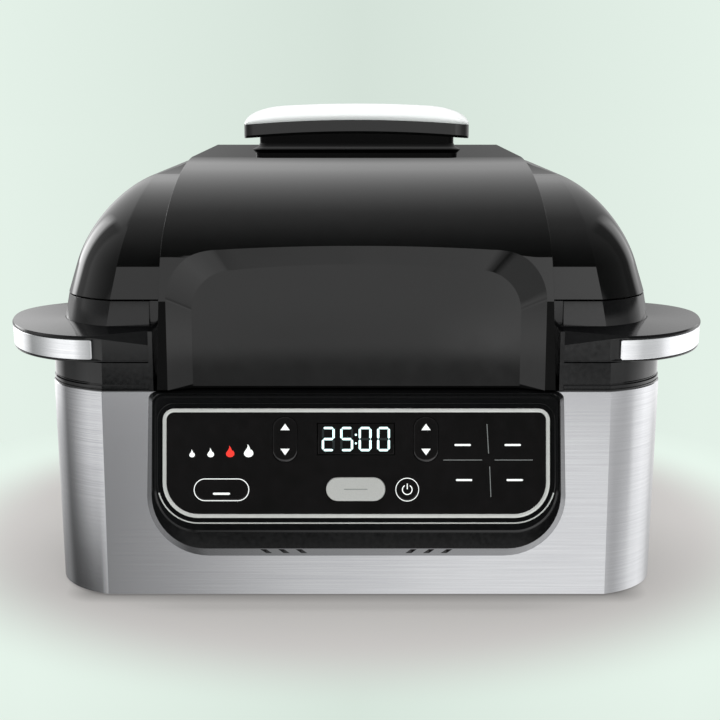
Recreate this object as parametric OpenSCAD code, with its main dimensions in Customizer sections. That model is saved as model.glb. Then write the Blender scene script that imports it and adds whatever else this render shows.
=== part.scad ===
// Electric indoor grill with a hinged hood: a steel-wrapped body, two side wings, a sloping
// control console, a lift-out pot and grate, and a hood with its own heating coil and fan.
// Millimetres. X runs right, Y runs back, Z runs up from the table; the front faces -Y.

/* [Body] */
// Width over the steel sides
body_w = 353.2; // [345:0.2:362]
// Steel front face, measured forward of the centre
body_front = 155; // [153:0.5:160]
// Back face, measured behind the centre
body_back = 171; // [170:0.5:176]
// Radius of the front corners
corner_r = 50; // [44:1:56]
// Radius of the back corners
back_corner_r = 42; // [30:1:50]
// Height of the steel's lower edge above the table
steel_z = 3; // [2.5:0.1:4]
// Height of the steel's upper edge above the table
steel_top = 121.4; // [120:0.2:126]
// Thickness of the steel sheet
steel_t = 0.8; // [0.6:0.1:1.2]
// Wall thickness of the moulded covers
wall = 2.5; // [2:0.1:3]
// How far the back cover reaches forward along the sides
cover_d = 51; // [45:1:70]

/* [Collar] */
// Height of the thin band on the steel's upper edge
rim_h = 4; // [3:0.5:6]
// Height of the neck between that band and the wings
neck_h = 12.1; // [10:0.1:16]
// How far the neck stands back from the steel
neck_step = 1.2; // [0.8:0.1:2]
// Thickness of the wings where they meet the collar
wing_t = 18; // [15:0.5:20]
// Height of the collar above the wings
collar_h = 14; // [10:0.5:18]
// How far the collar's front stands back from the steel
collar_in = 21; // [17:0.5:22]
// How far the collar leans in on its way up
collar_lean = 2.5; // [1:0.1:4]
// Gap between the hood's apron and the sides of its notch
apron_gap = 2.5; // [2:0.1:4]

/* [Wings] */
// How far each wing reaches out past the steel
wing_reach = 37.4; // [34:0.2:42]
// Distance of the wing tip forward of the centre
wing_mid = 65; // [55:1:75]
// Distance of the wing's back end forward of the centre
wing_back = 19; // [10:1:28]
// How much lower the tip's top is than the wing's root
wing_fall = 7.5; // [5:0.5:9]
// Height of the bright trim on the wing's edge
trim_h = 11.6; // [9:0.2:12]
// Thickness of the bright trim
trim_t = 0.8; // [0.6:0.1:1.2]

/* [Hood] */
// How far the hood's sides stand in from the steel
hood_in = 4.1; // [3:0.1:7]
// Gap between collar and hood
seam = 1; // [0.6:0.1:1.5]
// Height of the upright lower part of the hood
hood_straight = 17.5; // [12:0.5:22]
// Height of the rounded part of the hood
hood_curve_h = 48.5; // [44:0.5:54]
// Depth of the rounded part at the front
hood_curve_d = 96; // [85:1:104]
// Rise of the crown above the hood's upper edge
hood_crown = 4.5; // [3:0.5:6]
// Wall thickness of the hood
hood_wall = 2.5; // [2:0.1:3]
// Height of the raised band above the hood's crown
band_rise = 4.7; // [4:0.1:7]
// Width of the band's apron at its lower edge
apron_w = 224; // [220:0.5:225]
// How much the apron narrows on each side on its way up to the band
band_taper = 8; // [6:0.5:12]
// How far the apron stands ahead of the steel
apron_proud = 2.3; // [1:0.1:4]

/* [Handle] */
// Width of the hood handle
handle_w = 134.8; // [110:1:150]
// Depth of the hood handle
handle_d = 53; // [46:1:60]
// Finger room under the handle
finger_gap = 12.5; // [11:0.5:16]
// Thickness of the handle's moulded grip
grip_t = 7; // [6:0.5:9]
// Height of the domed steel cap on the grip
cap_h = 9.5; // [6:0.1:10]

/* [Console] */
// Height of the console's lower edge above the table
console_z = 24.6; // [22:0.2:28]
// How far the console stands out at its nose
console_d = 22.5; // [20:0.5:24]
// How far the console stands out at its top
console_top_d = 6; // [4:0.5:8]
// Height of the console's nose above the table
nose_z = 36; // [34:0.5:38]
// Margin of the console round the bright frame, at its sides
console_margin = 11.4; // [10:0.2:14]
// Width of the bright frame on the panel
frame_w = 216.6; // [210:0.2:218]
// Thickness of the panel glass
glass_t = 1.5; // [1.2:0.1:2]
// Travel of the push keys
key_travel = 0.6; // [0.4:0.05:0.7]

/* [Cooking space] */
// Space between the pot's rim and the hood's side
pot_side = 46.5; // [45.5:0.5:55]
// Space between the pot's rim and the notch in front
pot_front = 25.5; // [25:0.5:35]
// Space between the pot's rim and the collar behind it
pot_back = 34; // [33:0.5:45]
// Height of the cooking pot
pot_h = 98; // [85:1:101]
// Wall thickness of the cooking pot
pot_t = 1.6; // [1.2:0.1:2]
// Number of bars in the grill grate
grate_bars = 15; // [9:1:19]
// Height of the hollow in the hood above the pot
hood_hollow = 34; // [30:0.5:36]
// Radius of the hood fan
fan_r = 46; // [35:1:55]
// Number of fan blades
fan_blades = 9; // [5:1:12]

/* [Fits] */
// Gap round a key in its hole
key_gap = 0.3; // [0.2:0.05:0.4]
// Clearance between parts that lift out
lift_gap = 0.3; // [0.2:0.05:0.5]
// Radius of the hinge pins
pin_r = 3; // [2.5:0.1:4]
// Radial clearance of the hinge pins and the fan shaft
run_gap = 0.05; // [0.02:0.01:0.08]

/* [Hidden] */
$fn = 48;
eps = 0.01;
big = 600;

// Front corners start at this angle off the front face, which leaves a crisp upright crease
crease = 20;
arc_n = 8;

// Heights of the stack, each from the one below it
neck_z = steel_top + rim_h;
ledge_z = neck_z + neck_h;
deck_z = ledge_z + wing_t;
collar_top = deck_z + collar_h;
hood_z = collar_top + seam;
hood_curve_z = hood_z + hood_straight;
hood_edge_z = hood_curve_z + hood_curve_h;
hood_top_z = hood_edge_z + hood_crown;
band_top_z = hood_top_z + band_rise;

// Widths and depths that follow from those above
hood_w = body_w - 2 * hood_in;
overall_w = body_w + 2 * wing_reach;
notch_w = apron_w + 2 * apron_gap;
band_w = apron_w - 2 * band_taper;
console_w = frame_w + 2 * console_margin;
steel_end = body_back - cover_d;
collar_front = body_front - collar_in;
collar_back_in = 15;
collar_back = body_back - collar_back_in;
hood_front = collar_front - 1.5;
hood_back = collar_back - 1;
notch_back = hood_front - 1;
collar_gap = 4.3;
pot_w = hood_w - 2 * pot_side;
pot_y0 = -notch_back + pot_front;
pot_y1 = collar_back - pot_back;
pot_d = pot_y1 - pot_y0;
pot_y = (pot_y0 + pot_y1) / 2;

// Underside of the base
pan_lift = 1.5;
pan_floor = 3;
pan_lip = 1.8;
pan_top = pan_lift + pan_floor;
pan_wall_h = 19.5;
foot_r = 11;
foot_h = pan_top;
foot_x = body_w / 2 - 50;
foot_front = body_front - 47;
foot_rear = body_back - 49;

// Cooking space
tub_gap = 4;
tub_t = 0.8;
tub_r = 46;
tub_hw = pot_w / 2 + tub_gap;
tub_y0 = pot_y - pot_d / 2 - tub_gap;
tub_y1 = pot_y + pot_d / 2 + tub_gap;
flange_w = 7;
flange_z = collar_top - tub_t;
pot_top_z = collar_top - 3.5;
pot_z = pot_top_z - pot_h;
tub_floor_z = pot_z - lift_gap;
shield_gap = 13;
shield_z = 50;

// Console
console_top_z = steel_top + 0.1;
nose_step = 1.2;
face_y0 = -body_front - console_d + nose_step;
face_y1 = -body_front - console_top_d;
face_z0 = nose_z + 9;
face_tilt = atan((face_y1 - face_y0) / (console_top_z - face_z0));
face_h = (console_top_z - face_z0) / cos(face_tilt);
frame_lo = 7.6;
frame_hi = face_h - 6.7;
frame_bar = 2.2;
frame_proud = 0.8;
board_t = 1.6;
board_back = -10;
board_front = board_back + board_t;
ledge_in = 2.5;
window_in = 9;
face_wall = 3;
flange_t = 1;
cap_proud = 0.7;

// Hood band, apron and handle
band_wall = 2.5;
band_curve_h = 50.2;
band_curve_z = band_top_z - band_curve_h;
band_y0 = -body_front - apron_proud;
band_y1 = -34;
band_rear_rise = 2.6;
band_tail_d = 26;
band_tail_h = 34;
band_rear_y = hood_back - band_tail_d;
band_end_y = hood_back + 6;
apron_z = steel_top + 1.1;
apron_back_y = -hood_front - 0.3;
arch_rail = 6;
arch_hw = apron_w / 2 - arch_rail;
arch_depth = 8;
arch_bevel = 12;
handle_y0 = -64;
handle_y1 = handle_y0 + handle_d;
handle_pad_z = band_top_z + 2.3;
pad_h = 5;

// Hood hollow
liner_z = hood_z + 1.5;
liner_t = 0.8;
hollow_hw = tub_hw + 1;
hollow_y0 = tub_y0 - 1;
hollow_y1 = tub_y1 + 1;
hollow_top = liner_z + hood_hollow;
shield_z0 = liner_z + 4;
coil_r = 3.2;
coil_z = shield_z0 + 9;
coil_out = 104;
coil_in = fan_r + 16;
coil_turns = 3;
motor_r = 22;
motor_gap = 2.2;
shaft_r = 2;
fan_z = coil_z + 6;
fan_h = 11;

// Hinge, behind the hood and level with its lower edge
hinge_y = body_back - 5;
hinge_z = collar_top - 4.5;
hinge_x = 76;
knuckle_r = 7;
knuckle_w = 26;
ear_t = 3;
ear_gap = 0.5;
ear_x = knuckle_w / 2 + ear_gap;

// ---------------------------------------------------------------- shared outlines and solids

// Plan outline of the body at one level: flat front, creased front corners, round back corners
function plan(hw, front, back, r, rr) =
  let (xc = hw - r, yc = -front + r * cos(crease), xr = hw - rr, yr = back - rr)
  concat(
    [for (i = [0:arc_n]) let (a = crease + (90 - crease) * i / arc_n)
      [xc + r * sin(a), yc - r * cos(a)]],
    [for (i = [0:arc_n]) let (a = 90 * i / arc_n) [xr + rr * cos(a), yr + rr * sin(a)]],
    [for (i = [arc_n:-1:0]) let (a = 90 * i / arc_n) [-xr - rr * cos(a), yr + rr * sin(a)]],
    [for (i = [arc_n:-1:0]) let (a = crease + (90 - crease) * i / arc_n)
      [-xc - r * sin(a), yc - r * cos(a)]]);

// Body outline moved inwards by t
function body_plan(t) =
  plan(body_w / 2 - t, body_front - t, body_back - t, corner_r - t, back_corner_r - t);

// Collar outline at height share s (0 at the wings, 1 at its top), moved inwards by t
function collar_plan(s, t) =
  plan(hood_w / 2 + collar_lean * (1 - s) - t, collar_front - s - t, collar_back - t,
       corner_r - 2 - t, back_corner_r - 4 - t);

// Rounded rectangle from x = -hw to hw and y0 to y1
function rrect(hw, y0, y1, r, n = 6) =
  concat(
    [for (i = [0:n]) let (a = -90 + 90 * i / n) [hw - r + r * cos(a), y0 + r + r * sin(a)]],
    [for (i = [0:n]) let (a = 90 * i / n) [hw - r + r * cos(a), y1 - r + r * sin(a)]],
    [for (i = [0:n]) let (a = 90 + 90 * i / n) [-hw + r + r * cos(a), y1 - r + r * sin(a)]],
    [for (i = [0:n]) let (a = 180 + 90 * i / n) [-hw + r + r * cos(a), y0 + r + r * sin(a)]]);

function at_height(outline, z) = [for (p = outline) [p[0], p[1], z]];

// Skin through rings of equally many points, each flat and anticlockwise when seen from
// the ring after it. A loop has no end caps.
module skin(rings, loop = false) {
  n = len(rings[0]);
  m = len(rings);
  points = [for (r = rings) each r];
  last = loop ? m - 1 : m - 2;
  sides = [for (j = [0:last], i = [0:n - 1])
    let (a = j * n + i, b = j * n + (i + 1) % n, k = (j + 1) % m,
         c = k * n + (i + 1) % n, d = k * n + i)
    each [[a, c, b], [a, d, c]]];
  caps = loop ? [] : [[for (i = [0:n - 1]) i], [for (i = [n - 1:-1:0]) (m - 1) * n + i]];
  polyhedron(points, concat(sides, caps), convexity = 8);
}

module slab(outline, z0, z1) {
  translate([0, 0, z0])
    linear_extrude(z1 - z0)
      polygon(outline);
}

module tube_wall(outer, inner, z0, z1) {
  difference() {
    slab(outer, z0, z1);
    slab(inner, z0 - 1, z1 + 1);
  }
}

// A side profile [y, z] drawn out to half width hw on both sides of the middle
module across(profile, hw) {
  translate([-hw, 0, 0])
    rotate([90, 0, 90])
      linear_extrude(2 * hw)
        polygon(profile);
}

// A front profile [x, z] drawn out from y0 to y1
module along(profile, y0, y1) {
  translate([0, y1, 0])
    rotate([90, 0, 0])
      linear_extrude(y1 - y0)
        polygon(profile);
}

// Local frame of the sloping panel: x right, y up the slope, z out of the face
module on_face() {
  translate([0, face_y0, face_z0])
    rotate([90 - face_tilt, 0, 0])
      children();
}

// ---------------------------------------------------------------- base

module at_feet() {
  for (x = [-foot_x, foot_x], y = [-foot_front, foot_rear])
    translate([x, y, 0]) children();
}

module feet() {
  color("#1b1b1c")
    at_feet()
      difference() {
        cylinder(r = foot_r, h = foot_h);
        translate([0, 0, -eps]) cylinder(r = foot_r / 2.4, h = pan_lift / 2 + eps);
      }
}

board_w = 150;
board_d = 90;
board_x = -20;
post_r = 4;
post_h = 8;
screw_r = 2;

module at_board_posts() {
  for (x = [-1, 1], y = [-1, 1])
    translate([board_x + x * (board_w / 2 - 8), pot_y + y * (board_d / 2 - 8), 0]) children();
}

// Overlap of the back cover behind the steel sides
tongue = 12;

module base_pan() {
  cover_in = wall + 0.8;
  color("#202122")
    difference() {
      union() {
        slab(body_plan(wall), pan_lift, pan_top);
        intersection() {
          union() {
            slab(body_plan(pan_lip), pan_lift, pan_top);
            tube_wall(body_plan(steel_t), body_plan(steel_t + wall), steel_z,
                      steel_z + pan_wall_h);
          }
          translate([-big / 2, -big, 0]) cube([big, big + steel_end - tongue - 1, big]);
        }
        intersection() {
          tube_wall(body_plan(wall), body_plan(wall + cover_in), steel_z,
                    steel_z + pan_wall_h);
          translate([-big / 2, steel_end - tongue - 0.5, 0]) cube([big, big, big]);
        }
        at_feet() cylinder(r = foot_r + 3, h = pan_top + 3);
        at_board_posts() cylinder(r = post_r, h = pan_top + post_h);
        for (x = [-1, 1], y = [tub_y0 - shield_gap + 0.4, tub_y1 + shield_gap - 0.4])
          translate([x * (tub_hw - 60), y, pan_lift])
            cylinder(r = 7, h = shield_z - pan_lift);
      }
      at_feet() translate([0, 0, -1]) cylinder(r = foot_r, h = foot_h + 1);
      at_board_posts() translate([0, 0, pan_lift - eps])
        cylinder(r = screw_r, h = pan_top + post_h);
      translate([0, 0, -20]) cube([big, big, 40 + 2 * pan_lift], center = true);
      for (i = [-5:5])
        translate([i * 12 - 2.5, -75, 0]) cube([5, 40, pan_top + 1]);
    }
}

module steel_wrap() {
  opening = rrect(console_w / 2 - 14, console_z + 12, steel_top - 10, 6);
  color("#a9abad")
    difference() {
      tube_wall(body_plan(0), body_plan(steel_t), steel_z, steel_top);
      translate([-big / 2, steel_end, 0]) cube([big, big, big]);
      along(opening, -body_front - 5, -body_front + 5);
    }
}

vent_pitch = 7;
slot_w = 76;
slot_h = 3;
slot_z = 50;
bumper_x = foot_x - 10;
bumper_z = 70;
bumper_r = 9;
bumper_d = 6.5;
gland_x = -(body_w / 2 - back_corner_r - 16.6);
gland_z = 34;
gland_r = 7;

module rear_cover() {
  color("#1e1f20")
    difference() {
      union() {
        intersection() {
          tube_wall(body_plan(0), body_plan(wall), steel_z, steel_top);
          translate([-big / 2, steel_end, 0]) cube([big, big, big]);
        }
        intersection() {
          tube_wall(body_plan(steel_t), body_plan(wall), steel_z, steel_top);
          translate([-big / 2, steel_end - tongue, 0]) cube([big, tongue + 1, big]);
        }
        for (x = [-1, 1])
          translate([x * bumper_x, body_back - wall, bumper_z]) rotate([-90, 0, 0])
            cylinder(r = bumper_r, h = wall + bumper_d);
      }
      for (i = [0:5], x = [-1, 1])
        translate([x * (slot_w / 2 + 8) - slot_w / 2, body_back - wall - 1, slot_z + i * vent_pitch])
          cube([slot_w, wall + 2, slot_h]);
      translate([gland_x, body_back - wall - 1, gland_z]) rotate([-90, 0, 0])
        cylinder(r = gland_r, h = wall + 2);
    }
}

module cord_gland() {
  color("#161617")
    translate([gland_x, body_back, gland_z]) rotate([-90, 0, 0])
      difference() {
        union() {
          translate([0, 0, -wall - 2]) cylinder(r = gland_r, h = wall + 2);
          cylinder(r = gland_r + 3, h = 3);
          translate([0, 0, -wall - 4]) cylinder(r = gland_r + 2, h = 4);
        }
        translate([0, 0, -20]) cylinder(r = 3.6, h = 40);
      }
}

// Transformer, relays and capacitors on the board
coil_box = [34, 30, 22];
relay_box = [28, 12, 16];
capacitor_r = 7;
capacitor_h = 20;

module power_board() {
  z = pan_top + post_h + board_t;
  color("#2f6b3f") {
    translate([board_x - board_w / 2, pot_y - board_d / 2, z - board_t])
      cube([board_w, board_d, board_t]);
    translate([board_x - board_w / 3, pot_y - coil_box[1] / 2, z]) cube(coil_box);
    for (s = [-1, 1])
      translate([board_x + 5, pot_y + s * relay_box[1] - relay_box[1] / 2, z]) cube(relay_box);
    for (i = [-1:1])
      translate([board_x + board_w / 3, pot_y + i * 3 * capacitor_r, z])
        cylinder(r = capacitor_r, h = capacitor_h);
  }
}

module base_screws() {
  color("#8d8f92")
    at_board_posts() {
      translate([0, 0, pan_top + post_h + board_t]) cylinder(r = 3.4, h = 2);
    }
}

module rim_band() {
  color("#242526")
    difference() {
      tube_wall(body_plan(steel_t / 2), body_plan(wall * 2.4), steel_top, neck_z);
      translate([-notch_w / 2 - wall, -big, 0])
        cube([notch_w + 2 * wall, big - notch_back, big]);
    }
}

module upper_frame() {
  n = notch_w / 2;
  neck = body_plan(neck_step);
  color("#18191a")
    difference() {
      union() {
        // Neck, and the ledge that the wings stand on
        tube_wall(neck, body_plan(neck_step + wall), neck_z, ledge_z);
        tube_wall(neck, collar_plan(0, wall), ledge_z - wall, ledge_z);
        // Collar
        tube_wall(collar_plan(0, 0), collar_plan(0, wall), ledge_z - wall, deck_z);
        skin([
          at_height(collar_plan(0, wall), deck_z), at_height(collar_plan(0, 0), deck_z),
          at_height(collar_plan(1, 0), collar_top), at_height(collar_plan(1, wall), collar_top)
        ], loop = true);
        // Inner flange that carries the heat chamber
        difference() {
          slab(collar_plan(1, wall / 2), flange_z - wall, flange_z);
          slab(rrect(tub_hw + tub_t + lift_gap, tub_y0 - tub_t - lift_gap,
                     tub_y1 + tub_t + lift_gap, tub_r + 1), 0, big);
        }
        // Shoulder behind the wings
        intersection() {
          union() {
            tube_wall(neck, body_plan(neck_step + wall), ledge_z - 1, deck_z - 4);
            skin([
              at_height(body_plan(neck_step + wall), deck_z - 4 - wall),
              at_height(neck, deck_z - 4),
              at_height(collar_plan(0, 0), deck_z),
              at_height(collar_plan(0, 0), deck_z - wall)
            ], loop = true);
          }
          translate([-big / 2, -wing_back + 0.3, 0]) cube([big, big, big]);
        }
        // Walls and floor of the notch
        difference() {
          translate([-n - wall, -body_front + neck_step, steel_top - wall])
            cube([2 * (n + wall), body_front - neck_step - notch_back + wall,
                  deck_z - steel_top + wall]);
          translate([-n, -body_front, steel_top])
            cube([2 * n, body_front - notch_back, big]);
          translate([-big / 2, -big, -eps]) cube([big, big - body_front + steel_t, steel_top]);
        }
        translate([-n - collar_gap - 2, -notch_back, deck_z - 1])
          cube([2 * (n + collar_gap + 2), wall, flange_z - deck_z + 1]);
      }
      // Slots for the ears of the hinge brackets
      at_hinges() for (s = [-1, 1])
        translate([s > 0 ? ear_x - 0.1 : -ear_x - ear_t - 0.1, -knuckle_r - 0.1, -20])
          cube([ear_t + 0.2, 2 * knuckle_r + 0.2, 20]);
      // The notch itself, a little wider through the collar
      translate([-n, -big, neck_z - 1])
        cube([2 * n, big - notch_back, big]);
      translate([-n - collar_gap, -big, deck_z])
        cube([2 * (n + collar_gap), big - notch_back, big]);
    }
}

// ---------------------------------------------------------------- wings

wing_root_x = 143;
wing_n = arc_n;
wing_rear_n = 6;
trim_skip = 1;
wing_tip_x = overall_w / 2 - trim_t;
wing_end_x = body_w / 2 - neck_step + 1;
arm_y = -body_front + neck_step + 1.3;
wing_lip = 2;

// Share of the way from the wing's root to its tip
function reach(x) = max(0, (x - wing_root_x) / (wing_tip_x - wing_root_x));

function wing_outer() = concat(
  [[notch_w / 2 + wall, arm_y]],
  [for (i = [0:wing_n]) let (a = 90 * i / wing_n)
    [wing_root_x + (wing_tip_x - wing_root_x) * sin(a), -wing_mid + (arm_y + wing_mid) * cos(a)]],
  [for (i = [1:wing_rear_n]) let (a = 90 * i / wing_rear_n)
    [wing_end_x + (wing_tip_x - wing_end_x) * cos(a), -wing_mid + (wing_mid - wing_back) * sin(a)]]);

// Matching points on a plan outline: the straight front, the corner, then the side
function wing_inner(outline_hw, front, r) =
  let (xc = outline_hw - r, yc = -front + r * cos(crease))
  concat(
    [[notch_w / 2 + wall, -front]],
    [for (i = [0:wing_n]) let (a = crease + (90 - crease) * i / wing_n)
      [xc + r * sin(a), yc - r * cos(a)]],
    [for (i = [1:wing_rear_n]) [outline_hw, yc + (-wing_back - yc) * i / wing_rear_n]]);

function wing_top(p) = deck_z - 3 - (wing_fall - 3) * reach(p[0]);
function wing_bottom(p) = ledge_z - 5 * reach(p[0]);

module wing() {
  inner = wing_inner(hood_w / 2 + collar_lean + 0.1, collar_front + 0.1, corner_r - 2);
  middle = wing_inner(body_w / 2 - neck_step, body_front - neck_step - 0.9, corner_r - neck_step);
  outer = wing_outer();
  skin([for (i = [0:len(outer) - 1])
    let (a = inner[i], m = i < 2 ? [a[0], (a[1] + outer[i][1]) / 2] : middle[i], b = outer[i])
    [[a[0], a[1], deck_z - 0.3], [b[0], b[1], wing_top(b) + (i == 0 ? 2.9 : 0)],
     [b[0], b[1], wing_bottom(b)], [m[0], m[1], ledge_z], [a[0], a[1], ledge_z]]]);
}

module wing_trim() {
  outer = wing_outer();
  last = len(outer) - 2;
  skin([for (i = [1:last])
    let (p = outer[i], q = outer[i + 1], o = outer[i - 1],
         d = [q[1] - o[1], o[0] - q[0]], n = d / norm(d),
         t = wing_top(p) - wing_lip, b = max(t - trim_h, wing_bottom(p) + 1))
    [[p[0], p[1], t], [p[0] + n[0] * trim_t, p[1] + n[1] * trim_t, t],
     [p[0] + n[0] * trim_t, p[1] + n[1] * trim_t, b], [p[0], p[1], b]]]);
}

module side_handle_right() {
  color("#2a2b2c") wing();
}

module side_handle_left() {
  color("#2a2b2c") mirror([1, 0, 0]) wing();
}

module handle_trim_right() {
  color("#c3c5c7") wing_trim();
}

module handle_trim_left() {
  color("#c3c5c7") mirror([1, 0, 0]) wing_trim();
}

// ---------------------------------------------------------------- cooking space

module heat_chamber() {
  color("#8f9193")
    difference() {
      union() {
        slab(rrect(tub_hw + tub_t, tub_y0 - tub_t, tub_y1 + tub_t, tub_r + tub_t),
             tub_floor_z - tub_t, flange_z + eps);
        slab(rrect(tub_hw + flange_w, tub_y0 - flange_w, tub_y1 + flange_w, tub_r + flange_w),
             flange_z, collar_top);
      }
      slab(rrect(tub_hw, tub_y0, tub_y1, tub_r), tub_floor_z, big);
    }
}

module heat_shield() {
  g = shield_gap;
  color("#9a9c9e")
    tube_wall(rrect(tub_hw + g, tub_y0 - g, tub_y1 + g, tub_r + g),
              rrect(tub_hw + g - tub_t, tub_y0 - g + tub_t, tub_y1 + g - tub_t,
                    tub_r + g - tub_t),
              shield_z, flange_z - wall);
}

function pot_plan(t) =
  rrect(pot_w / 2 - t, pot_y - pot_d / 2 + t, pot_y + pot_d / 2 - t, 44 - t);

pot_rim = 4;

module cooking_pot() {
  color("#2b2c2e")
    difference() {
      union() {
        slab(pot_plan(pot_rim), pot_z, pot_top_z);
        slab(pot_plan(0), pot_top_z - 2, pot_top_z);
      }
      slab(pot_plan(pot_rim + pot_t), pot_z + pot_t, big);
    }
}

grate_z = pot_z + pot_t + lift_gap;
grate_foot = 12;
grate_rib = 7;
grate_rim = 9;

module grill_grate() {
  edge = pot_rim + pot_t + 1.5;
  bar_w = 4.5;
  span = pot_w - 2 * (edge + grate_rim);
  depth = pot_d / 2 - edge - grate_rim / 2;
  pitch = span / (grate_bars + 1);
  color("#3a3b3d") {
    tube_wall(pot_plan(edge), pot_plan(edge + grate_rim), grate_z + grate_foot,
              grate_z + grate_foot + grate_rib);
    for (i = [1:grate_bars])
      translate([-span / 2 + i * pitch - bar_w / 2, pot_y - depth, grate_z + grate_foot])
        cube([bar_w, 2 * depth, grate_rib + 2]);
    for (x = [-1, 1], y = [-1, 1])
      translate([x * (pot_w / 2 - 24), pot_y + y * (pot_d / 2 - 24), grate_z])
        cylinder(r = 5, h = grate_foot + 1);
    for (x = [-1, 1])
      translate([x * (pot_w / 2 - edge - grate_rim / 2), pot_y, grate_z + grate_foot + grate_rib])
        rotate([90, 0, 0])
          difference() {
            translate([-2, -1, -24]) cube([4, 23, 48]);
            translate([-5, -2, -16]) cube([10, 16, 32]);
          }
  }
}

// ---------------------------------------------------------------- console

// Outline [x, v] with its own radius below and above
function panel_outline(hw_low, hw_top, v0, v1, r_low, r_top, n = 6) = concat(
  [for (i = [0:n]) let (a = -90 + 90 * i / n)
    [hw_low - r_low + r_low * cos(a), v0 + r_low + r_low * sin(a)]],
  [for (i = [0:n]) let (a = 90 * i / n)
    [hw_top - r_top + r_top * cos(a), v1 - r_top + r_top * sin(a)]],
  [for (i = [0:n]) let (a = 90 + 90 * i / n)
    [-hw_top + r_top + r_top * cos(a), v1 - r_top + r_top * sin(a)]],
  [for (i = [0:n]) let (a = 180 + 90 * i / n)
    [-hw_low + r_low + r_low * cos(a), v0 + r_low + r_low * sin(a)]]);

// Outline of the bright frame, moved inwards by t
function frame_outline(t) =
  panel_outline(frame_w / 2 - t, frame_w / 2 - t, frame_lo + t, frame_hi - t, 20 - t, 6.5 - t);

// Window in the panel: a narrow ledge above and below the glass, wider ones at its ends
function window_outline() =
  let (hw = frame_w / 2 - frame_bar - window_in)
  panel_outline(hw, hw, frame_lo + frame_bar + ledge_in, frame_hi - frame_bar - ledge_in, 3, 3);

// Outline of the console's face in the face's own frame, moved inwards by t
function face_outline(t) =
  let (hw = console_w / 2 - 6.2 - t) panel_outline(hw, hw, t, face_h - 1 - t, 25 - t, 5 - t / 2);

// Where a point of that outline lies
function on_slope(p) =
  [p[0], face_y0 + p[1] * sin(face_tilt), face_z0 + p[1] * cos(face_tilt)];

// Console sections from the steel to the face, moved inwards by t
function console_rings(t) =
  let (hw = console_w / 2 - t, nose_y = face_y0 - nose_step,
       lean = (face_y1 + 0.4 - nose_y) / (console_top_z - nose_z))
  [
    [for (p = panel_outline(hw, hw - 2.4, console_z + t, console_top_z - t, 35 - t, 5 - t / 2))
      [p[0], -body_front, p[1]]],
    [for (p = panel_outline(hw - 5, hw - 5.4, nose_z + t * 2, console_top_z - t, 30 - t,
                            5 - t / 2))
      [p[0], nose_y + (p[1] - nose_z) * lean, p[1]]],
    [for (p = face_outline(t)) on_slope(p)]
  ];

slot_x = [-51, -41, -31, 31, 41, 51];

module control_housing() {
  outer = console_rings(0);
  inner = console_rings(wall);
  color("#0f1011")
    difference() {
      skin([inner[0], outer[0], outer[1], outer[2], inner[2], inner[1]], loop = true);
      for (x = slot_x)
        translate([x - 1, -body_front - console_d + 6, console_z - 5])
          cube([2, 9, 22]);
    }
}

module control_bezel() {
  boss_x = frame_w / 2 - frame_bar - 4;
  color("#0f1011")
    on_face()
      difference() {
        union() {
          translate([0, 0, -face_wall])
            linear_extrude(face_wall) polygon(face_outline(wall + 0.05));
          for (x = [-boss_x, boss_x], y = [frame_lo + 16, frame_hi - 11])
            translate([x, y, board_front]) cylinder(r = 3, h = -board_front - 2);
        }
        translate([0, 0, -glass_t])
          linear_extrude(20) polygon(frame_outline(frame_bar));
        translate([0, 0, -20])
          linear_extrude(40) polygon(window_outline());
      }
}

module panel_trim() {
  color("#d8dadb")
    on_face()
      linear_extrude(frame_proud)
        difference() {
          polygon(frame_outline(0));
          polygon(frame_outline(frame_bar));
        }
}

// Keys: centre across, centre up the slope, half length and radius of the pill
start_pill = [-0.3, 24.6, 16.4, 6.5];
power_pill = [28.5, 24.4, 6.6, 6.6];
grill_pill = [33 - frame_w / 2, 24.3, 15.5, 6.3];
rocker_pills = [[-39.8, 52.4], [39.0, 52.4]];
rocker_size = [13.6, 25];
rocker_r = 6.5;
display_box = [-22, 43.6, 43.6, 18];

module pill(p, grow = 0) {
  r = p[3] + grow;
  translate([p[0], p[1]]) {
    for (s = [-1, 1]) translate([s * (p[2] - p[3]), 0]) circle(r);
    if (p[2] > p[3]) square([2 * (p[2] - p[3]), 2 * r], center = true);
  }
}

module rocker_outline(p, grow = 0) {
  w = rocker_size[0] / 2 + grow;
  h = rocker_size[1] / 2 + grow;
  r = rocker_r + grow;
  translate([p[0], p[1]]) {
    for (s = [-1, 1]) translate([0, s * (h - r)]) circle(r);
    square([2 * r, 2 * (h - r)], center = true);
    translate([-w, -(h - r)]) square([2 * w, 2 * (h - r)]);
  }
}

module panel_glass() {
  color("#08090a")
    on_face()
      translate([0, 0, -glass_t])
        linear_extrude(glass_t)
          difference() {
            polygon(frame_outline(frame_bar + 0.1));
            for (p = [start_pill, power_pill, grill_pill]) pill(p, key_gap);
            for (p = rocker_pills) rocker_outline(p, key_gap);
            translate([display_box[0], display_box[1]])
              square([display_box[2], display_box[3]]);
          }
}

module display_module() {
  color("#101214")
    on_face()
      translate([display_box[0] + 0.1, display_box[1] + 0.1, board_front])
        cube([display_box[2] - 0.2, display_box[3] - 0.2, -board_front - 0.2]);
}

// Lit segments of each figure, in the order top, upper left, upper right, middle, lower left,
// lower right, bottom
two = [1, 0, 1, 1, 1, 0, 1];
five = [1, 1, 0, 1, 0, 1, 1];
zero = [1, 1, 1, 0, 1, 1, 1];
shown = [two, five, zero, zero];
digit_w = 6.6;
digit_h = 11.8;
digit_pitch = 10.4;
stroke = 1.1;

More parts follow.
